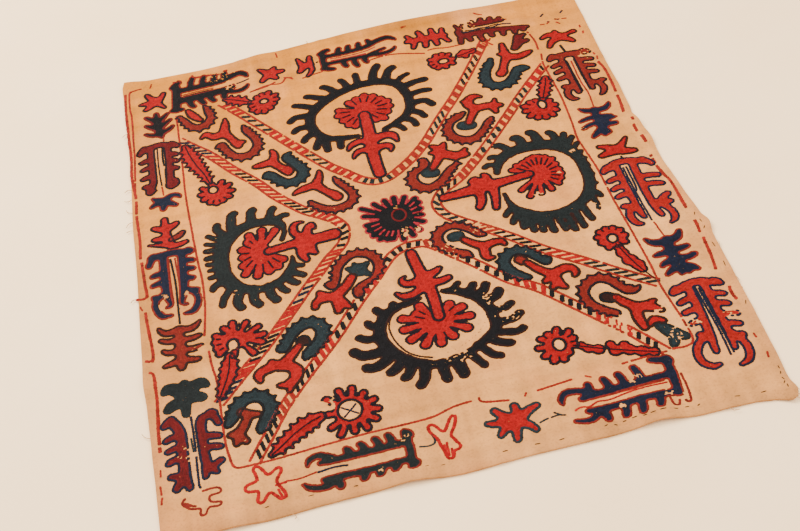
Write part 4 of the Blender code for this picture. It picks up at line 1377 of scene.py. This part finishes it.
COMB_LINES = (
    ("plum", ((-268, 211), (-268.5, 180), (-268, 160), (-267, 140))),
    ("black", ((-262, 210), (-262.5, 190), (-262, 176))),
    ("plum", ((-261, 170), (-261.5, 155), (-261, 142))),
    ("brick", ((-267, 138), (-266, 122))),
    ("madder", ((-268, 12), (-268.5, -20), (-267, -58))),
    ("black", ((-266, 12), (-263, -28), (-263, -60), (-263, -90))),
    ("madder", ((-261, 12), (-259, -30), (-260, -58))),
    ("navy", ((-262, -218), (-261, -250), (-261, -300), (-260, -306))),
    ("teal", ((-264, -245), (-263, -262))),
    ("navy", ((-121, -318), (-135, -317), (-150, -319))),
    ("brick", ((-151, -318), (-168, -321), (-180, -320))),
    ("bright_red", ((100, -316), (106, -313), (114, -315), (124, -311), (135, -312), (160, -308),
                    (194, -307))),
    ("brick", ((118, -307), (150, -306), (192, -304))),
    ("brick", ((-230, 309), (-205, 311), (-189, 311))),
    ("brown", ((-228, 306), (-205, 308), (-190, 308))),
    ("navy", ((-170, 312), (-158, 310), (-142, 315))),
    ("rose", ((-34, 321), (-10, 320), (12, 322), (26, 327))),
    ("rose", ((-34, 317), (-10, 316), (12, 317))),
    ("navy", ((138, 321), (150, 318), (165, 321), (180, 317), (193, 320), (206, 317))),
    ("brown", ((146, 322), (160, 319), (190, 322))),
    ("brick", ((200, 329), (210, 327), (221, 326))),
    ("plum", ((251, 216), (251.5, 180), (252, 150))),
    ("brick", ((256, 213), (255, 170), (257, 145), (255, 117))),
    ("plum", ((260, 216), (260, 180), (261, 150))),
    ("navy", ((253, 2), (253, -40), (255, -90))),
    ("navy", ((256.5, 2), (256, -34), (253, -41))),
    ("navy", ((263, -197), (264, -230), (265, -260), (264, -292))),
    ("navy", ((266, -199), (267, -235), (268, -262), (268, -290))),
    ("navy", ((261, -196), (261, -225))),
    ("brick", ((256, -93), (259, -119))),
    ("brick", ((-259, 233), (-259, 223))),
    ("black", ((253, 250), (255, 235))),
    ("black", ((252, 249), (254, 236))),
    ("black", ((257, 21), (257, 14))),
    ("black", ((-53, 319), (-51, 321))),
    ("teal", ((-52, -317), (-43, -318), (-37, -316), (-36, -312), (-38, -305))),
    ("teal", ((64, -320), (73, -317))),
    ("teal", ((76, -317), (83, -316), (90, -318))),
    ("teal", ((80, -312), (86, -317))),
    ("navy", ((246, 318), (251, 323))), ("navy", ((270, 315), (277, 322))),
    ("navy", ((247, 307), (254, 303))),
    ("navy", ((260, 309), (267, 304))), ("brick", ((241, 301), (249, 300), (256, 306))),
    ("brick", ((262, 300), (266, 295))), ("brick", ((262, 306), (280, 303))),
)
FIGURES = (
    # fill, edge, strokes
    ("black", "dark_red",
     (((-265, 281, 4), (-265, 262, 5.5), (-263, 242, 6), (-261, 233, 4)),
      ((-265, 262, 4.8), (-272, 271, 4.6), (-278, 277, 3.4)),
      ((-264, 262, 4.8), (-256, 271, 4.6), (-251, 277, 3.4)),
      ((-264, 248, 4.8), (-273, 256, 4.6), (-279, 260, 3.4)),
      ((-263, 249, 4.8), (-254, 258, 4.6), (-248, 263, 3.4)),
      ((-263, 238, 4.8), (-272, 239, 4.6), (-280, 243, 3.4)),
      ((-262, 238, 4.8), (-252, 244, 4.6), (-246, 249, 3.4)))),
    ("bright_red", "plum",
     (((-268, 79, 5), (-268, 60, 5.5), (-266, 42, 6.5), (-264, 35, 6)),
      ((-268, 60, 5), (-277, 65, 5.4), (-281, 67, 4.6)),
      ((-267, 60, 5), (-259, 66, 5.4), (-255, 69, 4.6)),
      ((-267, 46, 5), (-276, 48, 5.2), (-282, 48, 4.2)),
      ((-264, 34, 5.5), (-277, 38, 3.8), (-289, 41, 2)),
      ((-264, 32, 5.5), (-252, 33, 4.8), (-246, 35, 3.8)))),
    ("madder", "plum", (((-263, 43, 4), (-254, 47, 5.4), (-249, 52, 4.2)),)),
    ("madder", "brown",
     (((-265, -98, 6), (-265, -125, 6.5), (-265, -140, 6.5), (-266, -152, 5)),
      ((-265, -98, 5.5), (-277, -100, 5.2), (-284, -95, 3.8), (-286, -90, 2.4)),
      ((-264, -98, 5.5), (-252, -100, 5.2), (-245, -95, 3.8), (-242, -91, 2.4)),
      ((-265, -112, 5), (-277, -112, 4.6), (-285, -108, 3.4)),
      ((-265, -113, 5), (-253, -114, 4.8), (-244, -112, 3.8)),
      ((-265, -127, 5), (-277, -128, 4.6), (-283, -124, 3.2)),
      ((-264, -127, 5), (-253, -129, 4.8), (-244, -127, 3.8)),
      ((-266, -140, 5), (-276, -144, 4.8), (-282, -146, 3.8)),
      ((-264, -140, 5), (-253, -144, 4.8), (-248, -144, 4.2)))),
    ("navy", "madder",
     (((254, 112, 5), (252, 95, 5.5), (252, 75, 6), (252, 64, 4.5)),
      ((254, 110, 5), (244, 112, 5), (237, 118, 2.4)), ((255, 109, 5), (268, 111, 5), (274, 119, 2.6)),
      ((252, 98, 4.8), (241, 97, 4.6), (232, 94, 3.6)), ((253, 97, 4.8), (262, 96, 4.6), (269, 95, 3.6)),
      ((252, 84, 4.8), (241, 84, 4.6), (231, 80, 3.6)), ((253, 83, 4.8), (264, 87, 4.4), (272, 89, 3.2)),
      ((253, 77, 4.8), (263, 77, 4.8), (269, 76, 4)), ((251, 74, 4.8), (243, 67, 4.6), (238, 63, 3.6)),
      ((252, 72, 4.2), (258, 66, 3.8)))),
    ("navy", "madder",
     (((259, -124, 7), (258, -145, 6.8), (259, -165, 6.5), (258, -174, 4)),
      ((257, -126, 6), (245, -124, 5.6), (238, -116, 3)),
      ((261, -126, 6), (271, -123, 5.8), (276, -115, 3.4)),
      ((257, -141, 5.5), (245, -142, 4.8), (240, -143, 3.4)),
      ((261, -140, 5.5), (271, -139, 4.8), (277, -138, 3.8)),
      ((257, -152, 5.5), (247, -156, 4.8), (242, -159, 3.4)),
      ((261, -152, 5.5), (272, -154, 5.2), (280, -151, 4.2)),
      ((257, -163, 5.5), (249, -168, 4.8), (243, -172, 3.4)),
      ((261, -163, 5.5), (270, -168, 5.6), (275, -172, 4.2)),
      ((259, -168, 5), (266, -174, 3.8)))),
    ("bright_red", "plum",
     (((69, 323, 5.5), (90, 323, 6.5), (108, 322, 6.5), (118, 322, 5)),
      ((76, 323, 5), (70, 335, 4)), ((90, 323, 5.5), (86, 339, 4.8)), ((104, 322, 5.5), (103, 339, 4.8)),
      ((115, 321, 5), (117, 336, 4.2)), ((78, 321, 5), (74, 307, 4.2)), ((92, 321, 5.5), (90, 306, 5)),
      ((104, 321, 5.5), (105, 306, 5)), ((114, 320, 5), (121, 307, 4.2)))),
    ("bright_red", "plum",
     (((-263, 306, 8), (-270, 316, 5.5), (-274, 323, 4)),
      ((-263, 307, 8), (-256, 314, 5), (-253, 321, 4)),
      ((-265, 306, 7), (-276, 306, 5), (-284, 306, 3)),
      ((-266, 303, 7), (-274, 296, 5), (-278, 293, 3.8)),
      ((-262, 303, 6), (-256, 295, 4), (-253, 291, 3)))),
    ("navy", "madder",
     (((-266, 112, 6.5), (-275, 116, 4.4), (-279, 120, 2.6)),
      ((-265, 112, 6), (-257, 119, 4.6), (-249, 117, 4), (-247, 113, 2.4)),
      ((-267, 110, 6), (-277, 108, 4.8), (-281, 105, 3.6)), ((-266, 110, 6), (-268, 98, 4.6)),
      ((-265, 110, 6), (-257, 104, 4.8), (-253, 101, 3.8)))),
    ("pine", "pine",
     (((-266, -188, 9), (-265, -174, 5)), ((-267, -188, 8), (-275, -179, 7.5), (-282, -178, 6.4),
                                           (-287, -182, 2.8)),
      ((-264, -188, 8), (-254, -179, 7.5), (-247, -178, 6.4), (-242, -183, 2.8)),
      ((-268, -197, 7), (-278, -199, 6.8), (-284, -204, 5)),
      ((-263, -194, 7), (-252, -195, 6.4), (-249, -197, 5.6)),
      ((-266, -198, 6), (-266, -214, 4.4)))),
    ("bright_red", "plum",
     (((-116, 316, 7), (-123, 325, 5.2), (-128, 329, 2.6)),
      ((-115, 317, 6.5), (-109, 325, 4.8), (-107, 328, 3.2)),
      ((-114, 317, 6.5), (-103, 317, 5.5), (-98, 317, 4.4)),
      ((-115, 314, 6.5), (-109, 306, 5), (-107, 304, 4)),
      ((-117, 314, 6.5), (-124, 306, 5.2), (-126, 303, 4.2)))),
    ("bright_red", "plum",
     (((-76, 335, 3), (-73, 325, 5), (-71, 315, 6.5), (-76, 307, 5)),
      ((-60, 335, 4), (-61, 322, 5), (-60, 306, 4.4)),
      ((-71, 319, 5), (-61, 319, 5)), ((-60, 306, 4), (-64, 298, 4), (-68, 294, 3)))),
    ("bright_red", "brown",
     (((256, 267, 7), (254, 280, 4)), ((257, 269, 6), (267, 270, 4.4), (277, 273, 5)),
      ((254, 270, 6.5), (244, 275, 5.6), (235, 271, 4)),
      ((254, 264, 6.5), (245, 260, 5.8), (239, 250, 4)),
      ((257, 265, 6.5), (266, 259, 5.8), (271, 253, 4)))),
    ("bright_red", "brown",
     (((258, 34, 6.5), (247, 40, 5.4), (238, 44, 3.8)), ((259, 35, 6.5), (266, 42, 4.8), (272, 51, 2.8)),
      ((257, 31, 6.5), (245, 30, 6), (236, 28, 4.6)), ((258, 30, 6.5), (268, 27, 6), (275, 26, 4.4)))),
    ("bright_red", "teal",
     (((42, -312, 8), (31, -301, 5.4), (26, -295, 4.6)),
      ((44, -311, 8), (46, -301, 5.4), (46, -294, 4.8)),
      ((46, -311, 7.5), (57, -303, 5.6), (67, -299, 4.2)),
      ((38, -310, 7), (24, -310, 5), (16, -308, 3.8)),
      ((38, -314, 6), (28, -321, 5), (25, -325, 4)), ((42, -314, 7), (40, -326, 5.4), (39, -333, 4.4)),
      ((47, -314, 6.5), (56, -322, 4.8), (59, -327, 4)))),
)
BARE_OUTLINES = (
    ("bright_red", (((-199, -316, 7), (-206, -299, 4.5)),
                    ((-196, -316, 7), (-189, -309, 5), (-186, -306, 4.5)),
                    ((-200, -318, 7), (-215, -319, 5.5)), ((-199, -320, 7), (-206, -335, 4.5)),
                    ((-195, -320, 7), (-186, -335, 5)))),
    ("bright_red", (((-28, -312, 5.5), (-35, -300, 5.5), (-36, -297, 4.5)),
                    ((-24, -310, 4.5), (-17, -298, 4.5), (-14, -292, 4)),
                    ((-27, -314, 7), (-26, -334, 4.5)), ((-25, -316, 7), (-18, -325, 5)))),
)
LOOSE_LINES = (
    ("madder", ((-259, -310), (-248, -309), (-242, -311), (-242, -316), (-252, -317), (-252, -324),
                (-242, -327), (-244, -331), (-254, -330), (-258, -337), (-263, -336), (-262, -329),
                (-271, -327), (-279, -319), (-275, -314))),
    ("madder", ((-277, -319), (-270, -323))), ("madder", ((-276, -322), (-266, -325))),
    ("bright_red", ((-189, -327), (-185, -339))), ("bright_red", ((-186, -325), (-182, -338))),
    ("bright_red", ((-191, -322), (-180, -321))), ("bright_red", ((-26, -318), (-27, -334))),
    ("bright_red", ((-29, -320), (-29, -331))), ("bright_red", ((-23, -326), (-24, -335))),
    ("madder", ((190, -325), (191, -335), (195, -337), (198, -330))),
    ("madder", ((202, -326), (204, -334), (208, -334), (210, -318), (210, -300))),
    ("bright_red", ((160, 288), (166, 280))), ("bright_red", ((164, 291), (172, 279))),
)

for rows in COMBS:
    motif(comb(rows["bars"], rows["tips"], rows["half"], rows["droop"]), rows["fill"], rows["edge"],
          blend=1.2, rim=rows.get("rim", 3.0))
for thread, line in COMB_LINES:
    run(line, thread, width=3.1 if thread in ("navy", "black") else 2.5)
sew("border_combs")
for fill, edge, strokes in FIGURES:
    motif(strokes, fill, edge, rim=2.4 if edge == "madder" else 3.4)
for thread, strokes in BARE_OUTLINES:
    motif(strokes, None, thread, rim=3.4)
for thread, line in LOOSE_LINES:
    run(line, thread, width=3)
sew("border_trees_and_stars")

# Hem stitches and loose ends
# The hem is held down with a few dark running stitches, mostly along the near edge and the right
# side, and frayed ends of the cloth's own thread stick out past the edges.
RUNNING = (
    # x, y, length, turn
    (24, -344, 4, 5), (55, -344, 4, -5), (78, -345, 4, 4), (-50, -341, 3, 8), (-35, -343, 3, 0),
    (122, -341, 3, 20), (131, -343, 2.5, -30), (140, -341, 3, 10), (150, -339.5, 4, 8),
    (160, -341, 3, -5), (168, -340, 4, 10), (178, -339, 5, 5), (190, -341, 3, -20),
    (201, -341, 3, 0), (212, -342, 2.5, 30), (250, -342, 4, -4), (275, -344, 4, 6),
    (297, -340, 3, 60), (301, -95, 4, 75), (302, -110, 4, 100), (302, -120, 3, 60),
    (303, -145, 6, 95), (303, -175, 6, 85), (303, -232, 4, 70), (300, -320, 3, 90),
    (299, -327, 3, 70), (298, -335, 3, 110), (298, -345, 3, 80), (-160, -343, 4, 3),
    (-202, -344, 3, 12), (-118, -344, 3, -6),
)
HOLES = (
    # x, y of needle holes where a row of stitches has come out
    (0, -210), (4, -209), (8, -208.5), (12, -207), (16, -205), (20, -203.5), (24, -201),
    (28, -198.5), (32, -196), (36, -193), (39, -189.5), (42, -186), (45, -182),
)
FRAYED = (
    # points along a loose thread
    ((-301, 252), (-306, 250), (-309, 246)), ((-302, 142), (-307, 144), (-311, 141)),
    ((-303, 126), (-308, 123), (-312, 125)), ((-303, 101), (-309, 104), (-311, 109)),
    ((-304, 86), (-309, 84), (-312, 79)), ((-303, 70), (-308, 72), (-312, 70)),
    ((-304, -42), (-310, -40), (-313, -44)), ((-303, -235), (-308, -232), (-311, -227)),
    ((307, -150), (309, -147), (310, -142)), ((306, -192), (309, -199), (306, -206), (308, -212)),
    ((304, -350), (307, -352), (308, -356)), ((300, -359), (303, -362), (303, -364)),
    ((302, -356), (305, -358), (307, -361)), ((-180, -358), (-176, -362), (-178, -364)),
    ((238, -353), (241, -357), (246, -357)), ((-60, 364), (-57, 368), (-59, 371)),
)

for stitch in RUNNING:
    dash(*stitch, "black", width=1.0, stitch=6)
for x, y in HOLES:
    lay([(x - 0.6, y), (x + 0.7, y + 0.4)], "brown", width=0.9, stitch=2, lift=-0.3)
for line in FRAYED:
    run(line, "loose", width=0.5, stitch=2.4, lift=-0.5)
sew("hem_stitches")
